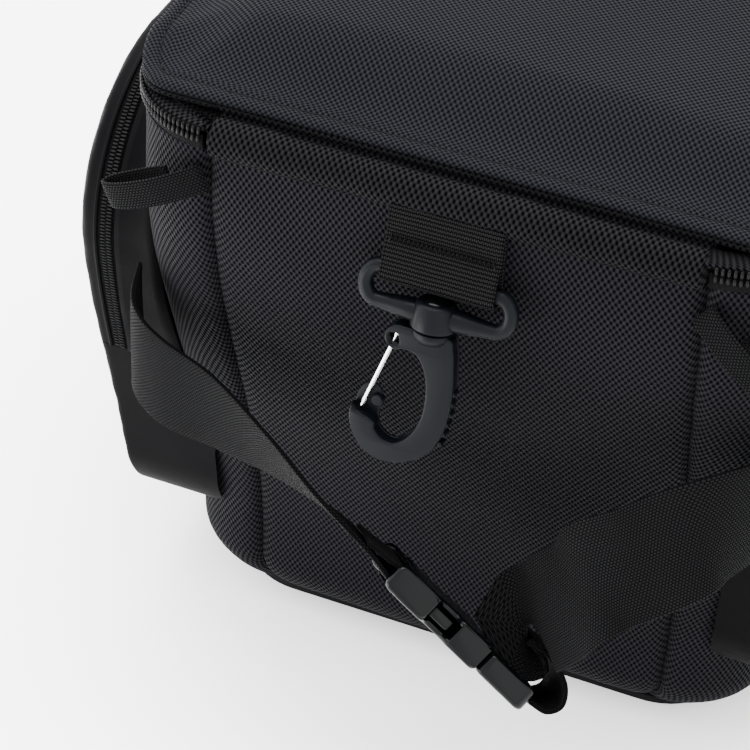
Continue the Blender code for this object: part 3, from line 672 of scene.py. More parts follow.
def wall_panel(name, panel, cols, seed):
    """One padded wall: full in the middle, drawn in along its seams, with soft dents and puckers."""
    heights = wall_heights()
    points, outs, runs = [], [], []
    for offset, z in ((5.2, 234.8), (4.2, 236.4), (2.2, 237.1), (0.8, 237.1)):
        row, out, length = wall_span(panel, WALL_TOP, cols)
        shifted = row.copy()
        shifted[:, :2] -= out * offset * MM
        shifted[:, 2] = z * MM
        points.append(shifted)
        outs.append(out)
        runs.append(np.linspace(0, length, cols))
    hem = len(points)
    for z in heights:
        row, out, length = wall_span(panel, z, cols)
        points.append(row)
        outs.append(out)
        runs.append(np.linspace(0, length, cols))
    points, outs, runs = np.array(points), np.array(outs), np.array(runs)
    edge = np.minimum(runs, runs[:, -1:] - runs)
    depth = np.concatenate([np.zeros(hem), WALL_TOP - np.array(heights)])[:, None]
    pinch = -3.2 * MM * np.exp(-edge / (2.0 * MM)) - 1.2 * MM * np.exp(-edge / (11 * MM))
    top = np.exp(-depth / (5 * MM))
    above_base = smoothstep((205 * MM - depth) / (70 * MM))
    full = smoothstep(edge / (60 * MM)) * smoothstep(depth / (70 * MM)) * above_base
    soft = wobble(points, 62 * MM, seed) * 1.3 * MM + wobble(points, 26 * MM, seed + 3) * 0.45 * MM
    stretched = points * np.array([1.0, 1.0, 0.28]) if panel in ("rear", "front") else points * 0.9
    pucker = wobble(stretched, 5.5 * MM, seed + 7) * 0.35 * MM * np.exp(-edge / (9 * MM))
    push = pinch + 1.6 * MM * full + (soft * smoothstep(edge / (18 * MM)) + pucker) * (1 - top)
    push[:hem] = 0
    below = np.array([turned_under(z) for z in heights])
    below = np.concatenate([np.zeros(hem), below])[:, None]
    way = np.concatenate([outs, np.zeros(outs.shape[:2] + (1,)) - below[..., None]], axis=2)
    way /= np.linalg.norm(way, axis=2, keepdims=True)
    fade = 1 - smoothstep((below - 0.6) / 0.4)
    points = points + way * (push * fade)[..., None]
    return grid_object(name, points, cloth_uv(points), FABRIC, flip=panel == "left")


def body():
    for panel, cols, seed in (("rear", 96, 1), ("right", 180, 5), ("front", 96, 9), ("left", 180, 13)):
        node = panel + ("_panel" if panel in ("rear", "front") else "_side_panel")
        place(wall_panel(node, panel, cols, seed), "bag_body", "fabric", node, fill=0.45)
    hinge()
    base()
    linings()


def hinge():
    """The puffed strip that joins the body's rear edge to the lid, rounded off at its ends."""
    profile = [(-133.6, 235.4), (-135.4, 235.7), (-136.8, 237.2), (-137.5, 239.6), (-137.1, 242.3),
               (-135.8, 244.8), (-133.8, 246.6), (-131.4, 247.4), (-129.6, 247.2), (-128.5, 246.4),
               (-127.3, 245.9), (-125.6, 246.8), (-123.6, 248.6)]
    profile = smooth_path([Vector((0, y, z)) * MM for y, z in profile], 3)
    centre = Vector((0, -130, 240)) * MM
    columns = np.linspace(-SEAM_X - 0.6 * MM, SEAM_X + 0.6 * MM, 150)
    rows = []
    for p in profile:
        row = []
        for x in columns:
            end = SEAM_X + 0.6 * MM - abs(x)
            shrink = 1 - 0.55 * (1 - float(smoothstep(end / (3.2 * MM)))) ** 2
            row.append(centre + (p - centre) * shrink + Vector((x, 0, 0)))
        rows.append([tuple(q) for q in row])
    points = np.array(rows)
    away = points - np.array(centre)
    away[..., 0] = 0
    away /= np.linalg.norm(away, axis=2, keepdims=True)
    skew = points.copy()
    skew[..., 0] += 0.9 * (points[..., 2] - centre.z)
    ripples = wobble(skew, 9 * MM, 2) * 0.4 * MM + wobble(points, 34 * MM, 8) * 0.6 * MM
    points = points + away * ripples[..., None]
    obj = grid_object("hinge_band", points, cloth_uv(points), BAND_FABRIC)
    place(obj, None, "fabric", "hinge_band")
    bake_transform(obj)


def base():
    outline, _ = ring_points(220, -4 * MM, WALL_LOW + 0.4 * MM)
    obj = plate("base_panel", [[(p[0], p[1]) for p in outline]], 0, 3.4 * MM, 1 * MM, RUBBER)
    place(obj, "bag_body", "rubber", "base_panel")


def linings():
    """The loose inner lining: walls that crease, and a floor."""
    rows, cols = [], 260
    for z in np.linspace(235.5, 20, 90):
        points, out = ring_points(cols, 5.0 * MM, z * MM)
        creases = wobble(points * np.array([1, 1, 0.35]), 14 * MM, 21)
        points[:, :2] -= out * (0.5 * MM + 0.5 * MM * creases[:, None])
        rows.append(points)
    low = rows[-1]
    for scale, drop in ((0.985, 3), (0.95, 5.5), (0.8, 6.4), (0.5, 6.4), (0.2, 6.4), (0.02, 6.4),
                        (CENTRE_SCALE, 6.4)):
        rows.append(low * np.array([scale, scale, 1]) - np.array([0, 0, drop * MM]))
    points = np.array(rows)
    obj = grid_object("body_lining", points, cloth_uv(points, centred=False), LINING, closed=True, flip=True)
    place(obj, "bag_body", "lining", "body_lining")


# ---------------------------------------------------------------- lid

LID_LOW, LID_RISE = 250 * MM, 20 * MM
LID_MID_Y = (BODY_HALF_Y + LID_REAR_Y) / 2
LID_HALF_Y = (BODY_HALF_Y - LID_REAR_Y) / 2
LID_MIDDLE = np.array([0, LID_MID_Y])


def dome(x, y):
    across = 1 - (x / BODY_HALF_X) ** 2
    along = 1 - ((y - LID_MID_Y) / LID_HALF_Y) ** 2
    return LID_LOW + 6 * MM + LID_RISE * np.clip(across * along, 0, 1) ** 0.55


def lid_outline(cols):
    """The lid's outline from the rear-left corner round by +X, evenly spaced, with outward directions."""
    points, _ = ring_points(1600)
    points[:, 1] = np.maximum(points[:, 1], LID_REAR_Y - 4.6 * MM)
    loop = np.concatenate([points, points[:1]])
    run = np.concatenate([[0], np.cumsum(np.linalg.norm(np.diff(loop, axis=0), axis=1))])
    at = np.linspace(0, run[-1], cols, endpoint=False)
    even = np.stack([np.interp(at, run, loop[:, k]) for k in range(3)], axis=1)
    for _ in range(6):
        even = (np.roll(even, 1, axis=0) + 2 * even + np.roll(even, -1, axis=0)) / 4
    ahead = np.roll(even, -1, axis=0) - np.roll(even, 1, axis=0)
    out = np.stack([ahead[:, 1], -ahead[:, 0]], axis=1)
    return even, out / np.linalg.norm(out, axis=1, keepdims=True)


def lid_row(outline, out, inward, z):
    """The lid's outline drawn in, at a height that is squeezed lower along the hinge side."""
    row = outline.copy()
    row[:, :2] -= out * inward * MM
    rear = smoothstep((-100 * MM - outline[:, 1]) / (22 * MM))
    squeezed = 246.8 + (z - 248.2) * 0.66
    row[:, 2] = (z * (1 - rear) + squeezed * rear) * MM
    return row


def drawn_in(outline, scale):
    """The outline shrunk towards the lid's middle, at its own height."""
    row = outline.copy()
    row[:, :2] = LID_MIDDLE + (outline[:, :2] - LID_MIDDLE) * scale
    return row


def dome_under(row):
    """The dome's height at each point of a row, read a little nearer the middle so that the edge stays up."""
    return dome(row[:, 0] * 0.97, LID_MID_Y + (row[:, 1] - LID_MID_Y) * 0.97)


def lid():
    outline, out = lid_outline(420)
    hem_profile = [(2.6, 252.2), (1.2, 251.9), (0.0, 252.2), (-0.7, 253.2), (-0.6, 254.6), (0.3, 255.9),
                   (1.8, 256.6), (3.4, 256.5), (4.4, 255.9), (5.0, 255.3), (5.6, 255.9), (6.6, 256.7)]
    rows = [lid_row(outline, out, inward, z) for inward, z in hem_profile]
    hem = len(rows)
    start = rows[-1]
    scales = np.concatenate([np.linspace(0.988, 0.9, 10), np.linspace(0.885, 0.015, 62), [CENTRE_SCALE]])
    for scale in scales:
        row = drawn_in(start, scale)
        rise = dome_under(row) + 0.6 * MM
        lift = float(smoothstep((1 - scale) / 0.22))
        row[:, 2] = start[:, 2] * (1 - lift) + rise * lift
        rows.append(row)
    points = np.array(rows)
    soft = wobble(points, 75 * MM, 31) * 1.6 * MM + wobble(points, 28 * MM, 33) * 0.35 * MM
    inner = np.concatenate([np.zeros(hem), smoothstep((1 - scales) / 0.12)])[:, None]
    tight = wobble(points, 7 * MM, 35) * 0.25 * MM
    edge = np.concatenate([np.linspace(0, 1, hem), 1 - smoothstep((1 - scales) / 0.12)])[:, None]
    points[..., 2] += soft * inner + tight * edge
    uv = points[..., :2].copy()
    depth = arc_lengths(points[:hem + 1], 0)
    shift = (depth[-1:] - depth)[..., None] * out[None]
    uv[:hem + 1] = points[hem:hem + 1, :, :2] + shift
    panel = grid_object("lid_panel", points, uv, LID_FABRIC, closed=True)
    fix_seam_uv(panel)
    place(panel, "lid", "fabric", "lid_panel", "lid_foam", fill=0.4)

    skirt_profile = [(3.0, 253.4), (2.8, 250.5), (2.4, 248.6), (1.2, 248.2), (0.1, 248.5), (-0.7, 249.5),
                     (-0.9, 250.6), (-0.6, 251.6), (0.2, 252.3), (1.4, 252.5)]
    skirt = np.array([lid_row(outline, out, inward, z) for inward, z in skirt_profile])
    skirt[..., 2] += wobble(skirt, 11 * MM, 41) * 0.25 * MM
    band = grid_object("lid_skirt", skirt, cloth_uv(skirt, False), BAND_FABRIC, closed=True, flip=True)
    place(band, "lid", "fabric", "lid_skirt")

    seam = lid_row(outline, out, 5.0, 255.6)
    row = stitches("lid_stitching", seam, 3.6 * MM, 2.6 * MM, 0.3 * MM)
    place(row, "lid", "fabric")

    under = []
    for scale in np.concatenate([[0.99, 0.985], np.linspace(0.97, 0.02, 44), [CENTRE_SCALE]]):
        line = drawn_in(outline, scale)
        lift = float(smoothstep((1 - scale) / 0.30))
        rise = dome_under(line) - 7.4 * MM
        line[:, 2] = lid_row(line, out, 0, 250.2)[:, 2] * (1 - lift) + rise * lift
        under.append(line)
    under = np.array(under)
    under[..., 2] += wobble(under, 20 * MM, 43) * 0.5 * MM
    lining = grid_object("lid_lining", under, under[..., :2], LINING, closed=True, flip=True)
    fix_seam_uv(lining)
    place(lining, "lid", "lining", "lid_lining")


def fix_seam_uv(obj):
    """Give every face corner its vertex's own place on the cloth, so that a ring has no stretched seam."""
    mesh = obj.data
    first = {}
    layer = mesh.uv_layers["cloth"].data
    for loop in mesh.loops:
        uv = layer[loop.index].uv.copy()
        first.setdefault(loop.vertex_index, uv)
    for loop in mesh.loops:
        layer[loop.index].uv = first[loop.vertex_index]


def rim_path(offset, z, rear_limit):
    """The zipped three sides at the rim, from the rear-right corner round the front to the rear-left one."""
    outer, _ = ring_points(900)
    points, _ = ring_points(900, offset)
    points[:, 2] = z
    keep = (np.abs(outer[:, 0]) > SEAM_X) | (outer[:, 1] > 0)
    keep &= outer[:, 1] > rear_limit
    return points[keep]


def zip_strip(name, z_low, z_high, rear_limit, body_name):
    rows = [rim_path(inset * MM, z, rear_limit) for inset, z in
            ((1.6, z_low), (0.6, z_low + 0.3 * MM), (0.2, (z_low + z_high) / 2), (0.4, z_high))]
    points = np.array(rows)
    obj = grid_object(name, points, cloth_uv(points), TAPE)
    thicken(obj, 0.7 * MM, 0)
    place(obj, body_name, "zip", name)


def coil(name, path, shift, body_name):
    """One side of the lid zip's coil: a bead for each turn, lying across the gap."""
    frames = [(p + Vector(UP) * shift, UP, ahead) for p, ahead in along_path(path, LID_ZIP_PITCH)]
    place(beads(name, frames, LID_TOOTH, TEETH), body_name, "zip")


def corner_flap(side, sign):
    """Fabric that closes the rim's rear corner, beyond the end of the hinge band."""
    outer, _ = ring_points(1200)
    keep = (outer[:, 0] * sign > SEAM_X - 1.5 * MM) & (outer[:, 1] < LID_REAR_Y + 3 * MM)
    rows = []
    for inward, z in ((1.8, 243.0), (0.9, 243.6), (0.5, 244.6), (0.1, 245.3), (0.6, 245.8), (2.0, 246.0),
                      (4.5, 245.9), (9.0, 245.6)):
        row, _ = ring_points(1200, inward * MM, z * MM)
        rows.append(row[keep])
    points = np.array(rows)
    points[..., 2] += wobble(points, 8 * MM, 45) * 0.3 * MM
    flap = grid_object("corner_flap_" + side, points, cloth_uv(points), BAND_FABRIC)
    thicken(flap, 0.8 * MM, -1)
    place(flap, "bag_body", "fabric")


def lid_zip():
    zip_strip("body_zip_tape", WALL_TOP + 0.2 * MM, ZIP_Z - 0.3 * MM, BODY_ZIP_REAR_Y, "bag_body")
    zip_strip("lid_zip_tape", ZIP_Z + 0.3 * MM, 248.4 * MM, LID_REAR_Y, "lid")
    low = rim_path(-0.7 * MM, ZIP_Z, BODY_ZIP_REAR_Y)
    high = rim_path(-0.7 * MM, ZIP_Z, LID_REAR_Y)
    coil("body_zip_coil", low, -1.45 * MM, "bag_body")
    coil("lid_zip_coil", high, 1.45 * MM, "lid")
    for side, sign in SIDES:
        corner = low[(low[:, 0] * sign > 0) & (low[:, 1] < LID_REAR_Y)]
        coil("corner_coil_" + side, corner, 1.45 * MM, "bag_body")
        corner_flap(side, sign)
    for side, sign in SIDES:
        x, y = sign * 9 * MM, BODY_HALF_Y + 2.1 * MM
        slider_at = axes_at((x, y, ZIP_Z), (1, 0, 0), UP)
        slider = zip_slider("lid_slider_" + side, slider_at, 12 * MM, 8 * MM)
        place(slider, "lid_slider_" + side, "slider", "lid_slider_" + side)
        hinge = Vector((x, y + 3.6 * MM, ZIP_Z - 0.5 * MM))
        pull = zip_pull("lid_pull_" + side, hinge)
        place(pull, "lid_pull_" + side, "slider", "lid_pull_" + side)


def rounded(points, radius):
    """A closed outline, given in millimetres, with its corners rounded and its sizes in metres."""
    points = [(x * MM, y * MM) for x, y in points]
    radius = radius * MM
    made = []
    count = len(points)
    for i in range(count):
        a, b, c = (Vector(points[(i + k) % count]) for k in (-1, 0, 1))
        back, ahead = a - b, c - b
        cut = min(radius, 0.45 * back.length, 0.45 * ahead.length)
        start, end = b + back.normalized() * cut, b + ahead.normalized() * cut
        for step in range(CORNER_STEPS + 1):
            t = step / CORNER_STEPS
            made.append(start * (1 - t) ** 2 + b * 2 * t * (1 - t) + end * t ** 2)
    return [(p.x, p.y) for p in made]


def rectangle(x0, y0, x1, y1, radius):
    return rounded([(x0, y0), (x1, y0), (x1, y1), (x0, y1)], radius)


def zip_slider(name, matrix, length, width):
    """A cast slider: a waisted body with a bridge for the puller. Local X runs along the zip."""
    end, half = length / MM / 2, width / MM / 2
    shape = [(-end, -half * 0.72), (-end * 0.2, -half * 0.8), (end * 0.5, -half), (end, -half * 0.8),
             (end, half * 0.8), (end * 0.5, half), (-end * 0.2, half * 0.8), (-end, half * 0.72)]
    shape = rounded(shape, 2)
    body_plate = plate("slider_plate", [shape], -1.7 * MM, 0.6 * MM, 0.5 * MM, SLIDER_METAL, matrix)
    arch = [(-end * 0.72, -0.2), (-end * 0.6, 1.4), (-end * 0.2, 2.4), (end * 0.3, 2.3),
            (end * 0.62, 1.3), (end * 0.7, -0.2)]
    arch = [tuple(p) for p in smooth_path([(x * MM, 0, z * MM) for x, z in arch], 5)]
    bridge = tube("slider_bridge", arch, 0.85 * MM, SLIDER_METAL, matrix)
    return join(name, [body_plate, bridge])


def zip_pull(name, hinge):
    """A tapered puller with a grip loop, hanging in the XZ plane."""
    outline = [(-3, 1.5), (3, 1.5), (2.7, -7), (4.1, -14), (4.1, -30), (2.4, -33), (-2.4, -33), (-4.1, -30),
               (-4.1, -14), (-2.7, -7)]
    outline = rounded(outline, 1.6)
    upright = Matrix.Translation(hinge) @ Matrix.Rotation(math.radians(90), 4, "X")
    eye = rectangle(-1.7, -25.5, 1.7, -20.5, 1.2)
    top = rectangle(-1.5, -3.6, 1.5, -0.9, 0.8)
    sheet = plate("pull_plate", [outline, eye, top], -0.8 * MM, 0.8 * MM, 0.35 * MM, SLIDER_METAL, upright)
    grips = []
    for i in range(4):
        z = -11.5 - 2.2 * i
        bar = [(-2.4 * MM, z * MM, 0.8 * MM), (2.4 * MM, z * MM, 0.8 * MM)]
        grips.append(tube("pull_rib", bar, 0.35 * MM, SLIDER_METAL, upright, sides=8))
    return join(name, [sheet] + grips)


# ---------------------------------------------------------------- handle and loops

def webbing_bits():
    for side, sign, droop in (("left", -1, 13), ("right", 1, 22)):
        profile = [(82.6, -134.6), (84.5, -136.6), (91, -139.6), (98, -141.6), (106, -142), (112, -141),
                   (115, -138.6), (112.5, -135.8), (106, -134.2), (99, -133.4), (95, -133.6)]
        fall = droop / 30.5
        stations = [((sign * x, y, 226 - fall * (x - 84.5)), (sign * fall, 0, 1)) for x, y in profile]
        name = side + "_tab_loop"
        place(ribbon(name, stations, 10 * MM, 1.3 * MM, WEBBING), "bag_body", "webbing", name)
        name = "front_" + side + "_anchor_loop"
        profile = [(114.8, 18.4), (122, 18.8), (130, 18.6), (134.4, 15), (130.5, 11.2), (123, 10.6),
                   (114, 10.2)]
        stations = [((sign * 45, y, z), (1, 0, 0)) for y, z in profile]
        place(ribbon(name, stations, 25 * MM, 1.2 * MM, WEBBING), "bag_body", "webbing", name)


HANDLE_HALF = 70 * MM
HANDLE_Z = 277.13 * MM


def carry_handle():
    """Two sewn patches hold a webbing handle that lies towards the front."""
    for side, sign in SIDES:
        centre = sign * (HANDLE_HALF + 11 * MM)
        half_x, half_y = 9.5, 14.5
        xs, ys = np.linspace(-half_x, half_x, 20), np.linspace(-half_y, half_y, 30)
        grid = np.zeros((len(ys), len(xs), 3))
        grid[..., 0] = centre + xs[None] * MM
        grid[..., 1] = ys[:, None] * MM
        rim = np.minimum(half_x - np.abs(xs)[None], half_y - np.abs(ys)[:, None])
        puff = 2.6 * MM - 1.3 * MM * np.exp(-np.clip(rim, 0, None) / 0.9)
        grid[..., 2] = dome(grid[..., 0], grid[..., 1]) + puff + wobble(grid, 6 * MM, 51) * 0.15 * MM
        name = "handle_anchor_" + side
        patch = grid_object(name, grid, cloth_uv(grid), WEBBING)
        thicken(patch, 1.6 * MM, -1)
        place(patch, "lid", "webbing", name)
        lines = []
        corners = [(-7.5, -12.5), (7.5, -12.5), (7.5, 12.5), (-7.5, 12.5), (-7.5, -12.5), (7.5, 12.5)]
        for (x0, y0), (x1, y1) in zip(corners, corners[1:]):
            line = []
            for t in np.linspace(0, 1, 30):
                x, y = centre + (x0 + (x1 - x0) * t) * MM, (y0 + (y1 - y0) * t) * MM
                line.append((x, y, float(dome(x, y)) + 2.75 * MM))
            lines.append(stitches("box_stitch", line, 2.6 * MM, 1.9 * MM, 0.25 * MM))
        place(join(name + "_stitching", lines), "lid", "webbing")
    half, level, rise = HANDLE_HALF / MM, HANDLE_Z / MM, 0.28
    stations = [((half - back, y, level + y * rise), (0.8, 0.45, 0.1))
                for back, y in ((0, 0), (3, 14), (12, 27))]
    stations.append(((half - 28, 36, level + 36 * rise), (0, 1, rise)))
    mirrored = [((-x, y, z), (-w[0], w[1], w[2])) for (x, y, z), w in reversed(stations)]
    stations = stations + [((0, 40, level + 40 * rise), (0, 1, rise))] + mirrored
    strap = ribbon("carry_handle", stations, 12 * MM, 2 * MM, WEBBING)
    place(strap, "handle", "webbing", "carry_handle")
    grip_at = axes_at((0, 40 * MM, HANDLE_Z + rise * 40 * MM), (1, 0, 0), (0, 1, rise))
    rows = []
    grip_half, ridges = 33, 11
    for x in np.linspace(-grip_half, grip_half, 67):
        end = float(smoothstep((grip_half - abs(x)) / 5))
        wave = 0.35 * math.cos(x / (2 * grip_half) * math.pi * 2 * ridges)
        ring = []
        for t in [2 * math.pi * i / 40 for i in range(40)]:
            c, s = math.cos(t), math.sin(t)
            w = (9.4 + 3.0 * end) * math.copysign(abs(c) ** 0.6, c)
            h = (2.9 + 1.4 * end + wave * end) * math.copysign(abs(s) ** 0.6, s)
            ring.append(tuple(grip_at @ (Vector((x, w, h)) * MM)))
        rows.append(ring)
    rows = np.array(rows)
    grip = grid_object("handle_grip", rows, cloth_uv(rows), RUBBER, closed=True, flip=True)
    close_ends(grip.data)
    place(grip, "handle", "rubber", "handle_grip")


# ---------------------------------------------------------------- side pockets

def wall_x(y, z):
    """Half-width of the body at a place on its side, following the round corners."""
    rear, front, side, _ = insets(z)
    reach = BODY_HALF_Y - (rear if y < 0 else front)
    over = min(max(abs(y) - (reach - CORNER_R), 0), 0.9 * CORNER_R)
    return BODY_HALF_X - side - CORNER_R + math.sqrt(CORNER_R ** 2 - over ** 2)


def pocket_outline(upper, spacing):
    """The pocket's edge above or below its split, evenly spaced from rear to front, in Y and Z."""
    radius = POCKET_TOP_R if upper else POCKET_LOW_R
    end_z = POCKET_TOP if upper else POCKET_LOW
    sign = 1 if upper else -1
    corner_z = end_z - sign * radius
    points = [(-POCKET_HALF_Y, POCKET_SPLIT + 0.15 * MM * sign)]
    for i in range(41):
        t = math.radians(90 * i / 40)
        points.append((-POCKET_HALF_Y + radius * (1 - math.cos(t)), corner_z + sign * radius * math.sin(t)))
    points += [(-y, z) for y, z in reversed(points)]
    points = np.array(points)
    run = np.concatenate([[0], np.cumsum(np.linalg.norm(np.diff(points, axis=0), axis=1))])
    at = np.linspace(0, run[-1], int(run[-1] / spacing))
    return np.stack([np.interp(at, run, points[:, k]) for k in range(2)], axis=1)


def pocket_point(side, y, z, scale, depth):
    """A point on the pocket's skin: the outline drawn in by scale, at a depth out from the body."""
    lean = 0.30 * insets(z)[0] * max(-y / POCKET_HALF_Y, 0)
    y = (y + lean) * scale
    z = POCKET_SPLIT + (z - POCKET_SPLIT) * scale
    edge = wall_x(y, z)
    outer_fade = 1 - 0.6 * smoothstep((depth - 18 * MM) / (15 * MM))
    depth += GUSSET_EXTRA * float(smoothstep(depth / (9 * MM)) * outer_fade)
    depth *= 1 - POCKET_TAPER * float(smoothstep((POCKET_SPLIT + 0.040 - z) / 0.118))
    flat = BODY_HALF_X - insets(max(z, WALL_LOW + BOTTOM_R))[2]
    blend = min(depth / (12 * MM), 1)
    return (side * (edge + (flat - edge) * blend + 1.3 * MM + depth), y, z)


def pocket_row(side, outline, scale, depth):
    return np.array([pocket_point(side, y, z, scale, depth) for y, z in outline])


def pocket_crown(steps):
    """Scale and depth from the pocket's edge to its middle."""
    stops = []
    for i in range(1, steps + 1):
        turn = math.radians(90 * (i / steps) ** 1.15)
        scale = max(math.cos(turn), 0) ** 0.62
        stops.append((max(scale, 0.02), 18 * MM + (POCKET_DEPTH - 18 * MM) * math.sin(turn) ** 0.75))
    return stops


def pocket_face(name, sign, upper, stops, body_name):
    """The pocket's soft outer cloth, slightly creased and fuller in the middle."""
    outline = pocket_outline(upper, 2.2 * MM)
    points = np.array([pocket_row(sign, outline, scale, depth) for scale, depth in stops])
    seed = 61 + 2 * sign + (5 if upper else 0)
    middle = np.array([1 - scale for scale, _ in stops])[:, None]
    calm = smoothstep(np.abs(points[..., 2] - POCKET_SPLIT) / (9 * MM))
    creases = wobble(points * np.array([1, 1, 0.4]), 17 * MM, seed) * 0.9 * MM
    soft = wobble(points, 45 * MM, seed + 1) * 1.6 * MM
    near = np.exp(-middle / 0.12) * wobble(points, 8 * MM, seed + 2) * 0.5 * MM
    full = 4.0 * MM * np.exp(-((points[..., 2] - 178 * MM) / (44 * MM)) ** 2) * smoothstep(middle / 0.25)
    push = (creases + soft) * smoothstep(middle / 0.3) * (0.35 + 0.65 * calm) + near * calm + full
    points[..., 0] += sign * push
    obj = grid_object(name, points, cloth_uv(points), POCKET_FABRIC, flip=(sign > 0) == upper)
    place(obj, body_name, "pocket_fabric", name, fill=0.35)


def pocket_piping(name, sign, depth, radius, body_name):
    path = pocket_row(sign, pocket_outline(True, 2.5 * MM), 1, depth)
    place(tube(name, path.tolist(), radius, BINDING, sides=8), body_name, "pocket_fabric")


def pockets():
    for side, sign in SIDES:
        flap, bucket = side + "_pocket_flap", side + "_pocket_bucket"
        flap_hem = [(1, 16.2 * MM), (1.004, 17 * MM), (1, 18 * MM)]
        pocket_face(flap, sign, True, flap_hem + pocket_crown(40), flap)
        bucket_wall = [(1, depth * MM) for depth in (0, 4, 9, 14, 18)]
        pocket_face(bucket, sign, False, bucket_wall + pocket_crown(40), "bag_body")
        pocket_piping(side + "_flap_piping", sign, 16.6 * MM, 0.9 * MM, flap)
        pocket_piping(side + "_frame_piping", sign, 8.6 * MM, 0.8 * MM, "bag_body")
        outline = pocket_outline(True, 2.5 * MM)
        frame_rows = np.array([pocket_row(sign, outline, 1 - 0.004 * k, d * MM)
                               for k, d in ((0, 0), (2, 2.5), (3, 5), (1, 7.5), (0, 9))])
        frame_rows[..., 1] += wobble(frame_rows, 12 * MM, 71) * 0.9 * MM
        gusset = grid_object(side + "_pocket_frame", frame_rows, cloth_uv(frame_rows), BINDING, flip=sign > 0)
        thicken(gusset, 1.2 * MM, 1)
        place(gusset, "bag_body", "pocket_fabric", side + "_pocket_frame")
        tape_rows = np.array([pocket_row(sign, outline, 0.992, d * MM) for d in (9.3, 11, 12.5, 14, 15.7)])
        tape = grid_object(side + "_pocket_zip", tape_rows, cloth_uv(tape_rows), TAPE, flip=sign > 0)
        thicken(tape, 0.8 * MM, 1)
        place(tape, "bag_body", "zip", side + "_pocket_zip")
        for part, depth in (("inner", 11.4), ("outer", 13.6)):
            path = pocket_row(sign, outline, 1.0, depth * MM)
            shift = 0.0 if part == "inner" else 0.65 * MM
            frames = [(p, (1, 0, 0), ahead) for p, ahead in along_path(path, POCKET_ZIP_PITCH, shift)]
            teeth = beads(side + "_pocket_coil_" + part, frames, POCKET_TOOTH, TEETH)
            place(teeth, "bag_body", "zip")
        x = sign * (BODY_HALF_X - insets(120 * MM)[2] + 12.9 * MM + 0.95 * GUSSET_EXTRA)
        y = POCKET_HALF_Y + 2.1 * MM
        slider_at = axes_at((x, y, 120 * MM), UP, (1, 0, 0))
        slider = zip_slider(side + "_pocket_slider", slider_at, 10 * MM, 8 * MM)
        place(slider, side + "_pocket_slider", "slider", side + "_pocket_slider")
        pull = zip_pull(side + "_pocket_pull", Vector((x, y + 3.6 * MM, 120 * MM)))
        place(pull, side + "_pocket_pull", "slider", side + "_pocket_pull")


# ---------------------------------------------------------------- snap hook

HOOK_PLACE = axes_at(HOOK_CENTRE, (1, 0, 0), (0, math.cos(HOOK_TILT), -math.sin(HOOK_TILT)))
HOOK_FACE = HOOK_PLACE @ Matrix.Rotation(math.radians(90), 4, "X")


def hook_webbing():
    """Webbing folded round the bail's bar, with a bar tack across it."""
    bar = HOOK_PLACE @ Vector((0, 0, BAIL_RISE))
    radius = 4.0 * MM
    front = ((-137.0, 238.5), (-138.3, 234), (-139.2, 228.5), (-142.0, 222.5))
    path = [Vector((0, y, z)) * MM for y, z in front]
    for degrees in range(180, 361, 20):
        t = math.radians(degrees)
        path.append(Vector((0, bar.y + radius * math.cos(t), bar.z + radius * math.sin(t))))
    path += [Vector((0, -136.3, 223)) * MM, Vector((0, -136.1, 235)) * MM]
    path = smooth_path(path, 5)
    centres = [p + Vector((HOOK_CENTRE.x, 0, 0)) for p in path]
    acrosses = [Vector((1, 0, 0))] * len(centres)
    obj = sweep("hook_webbing", centres, acrosses, WEB_WIDTH, WEB_THICK, HOOK_WEBBING, across_steps=30)
    place(obj, "bag_body", "webbing", "hook_webbing")
    line = []
    for i in range(49):
        x = HOOK_CENTRE.x + (-17.5 + 35 * i / 48) * MM
        z = (227.6 + (1.3 if i % 2 else -1.3)) * MM
        line.append((x, -140.35 * MM - (0.0 if i % 2 else 0.35 * MM), z))
    tack = tube("hook_bar_tack", line, 0.38 * MM, THREAD, sides=8)
    place(tack, "bag_body", "webbing")


def hook_bail():
    ring = []
    for side in (1, -1):
        for degrees in range(-90, 91, 10):
            t = math.radians(degrees)
            reach = BAIL_HALF - BAIL_END + BAIL_END * math.cos(t)
            ring.append(Vector((side * reach, 0, BAIL_RISE / 2 + side * BAIL_RISE / 2 * math.sin(t))))
    dense = []
    for a, b in zip(ring, ring[1:] + ring[:1]):
        parts = max(int((b - a).length / (1.2 * MM)), 1)
        dense += [a.lerp(b, i / parts) for i in range(parts)]
    radii = []
    for p in dense:
        lower = 1 - float(smoothstep(p.z / (4 * MM)))
        radii.append(2.55 * MM + 1.3 * MM * lower * float(1 - smoothstep((abs(p.x) - 6 * MM) / (14 * MM))))
    path = [tuple(p) for p in dense]
    wire = tube("bail_wire", path, radii, HOOK_PLASTIC, HOOK_PLACE, cyclic=True, sides=24)
    shell = [(2.9, 4.9), (5.3, 4.9), (6.2, 4.5), (6.7, 3.6), (7.1, 0), (7.6, -2.6), (7.5, -3.6), (6.9, -4.1),
             (2.9, -4.1)]
    barrel = lathe_mm("barrel", shell, HOOK_PLASTIC, HOOK_PLACE)
    place(join("hook_bail", [wire, barrel]), "hook_bail", "hook", "hook_bail")


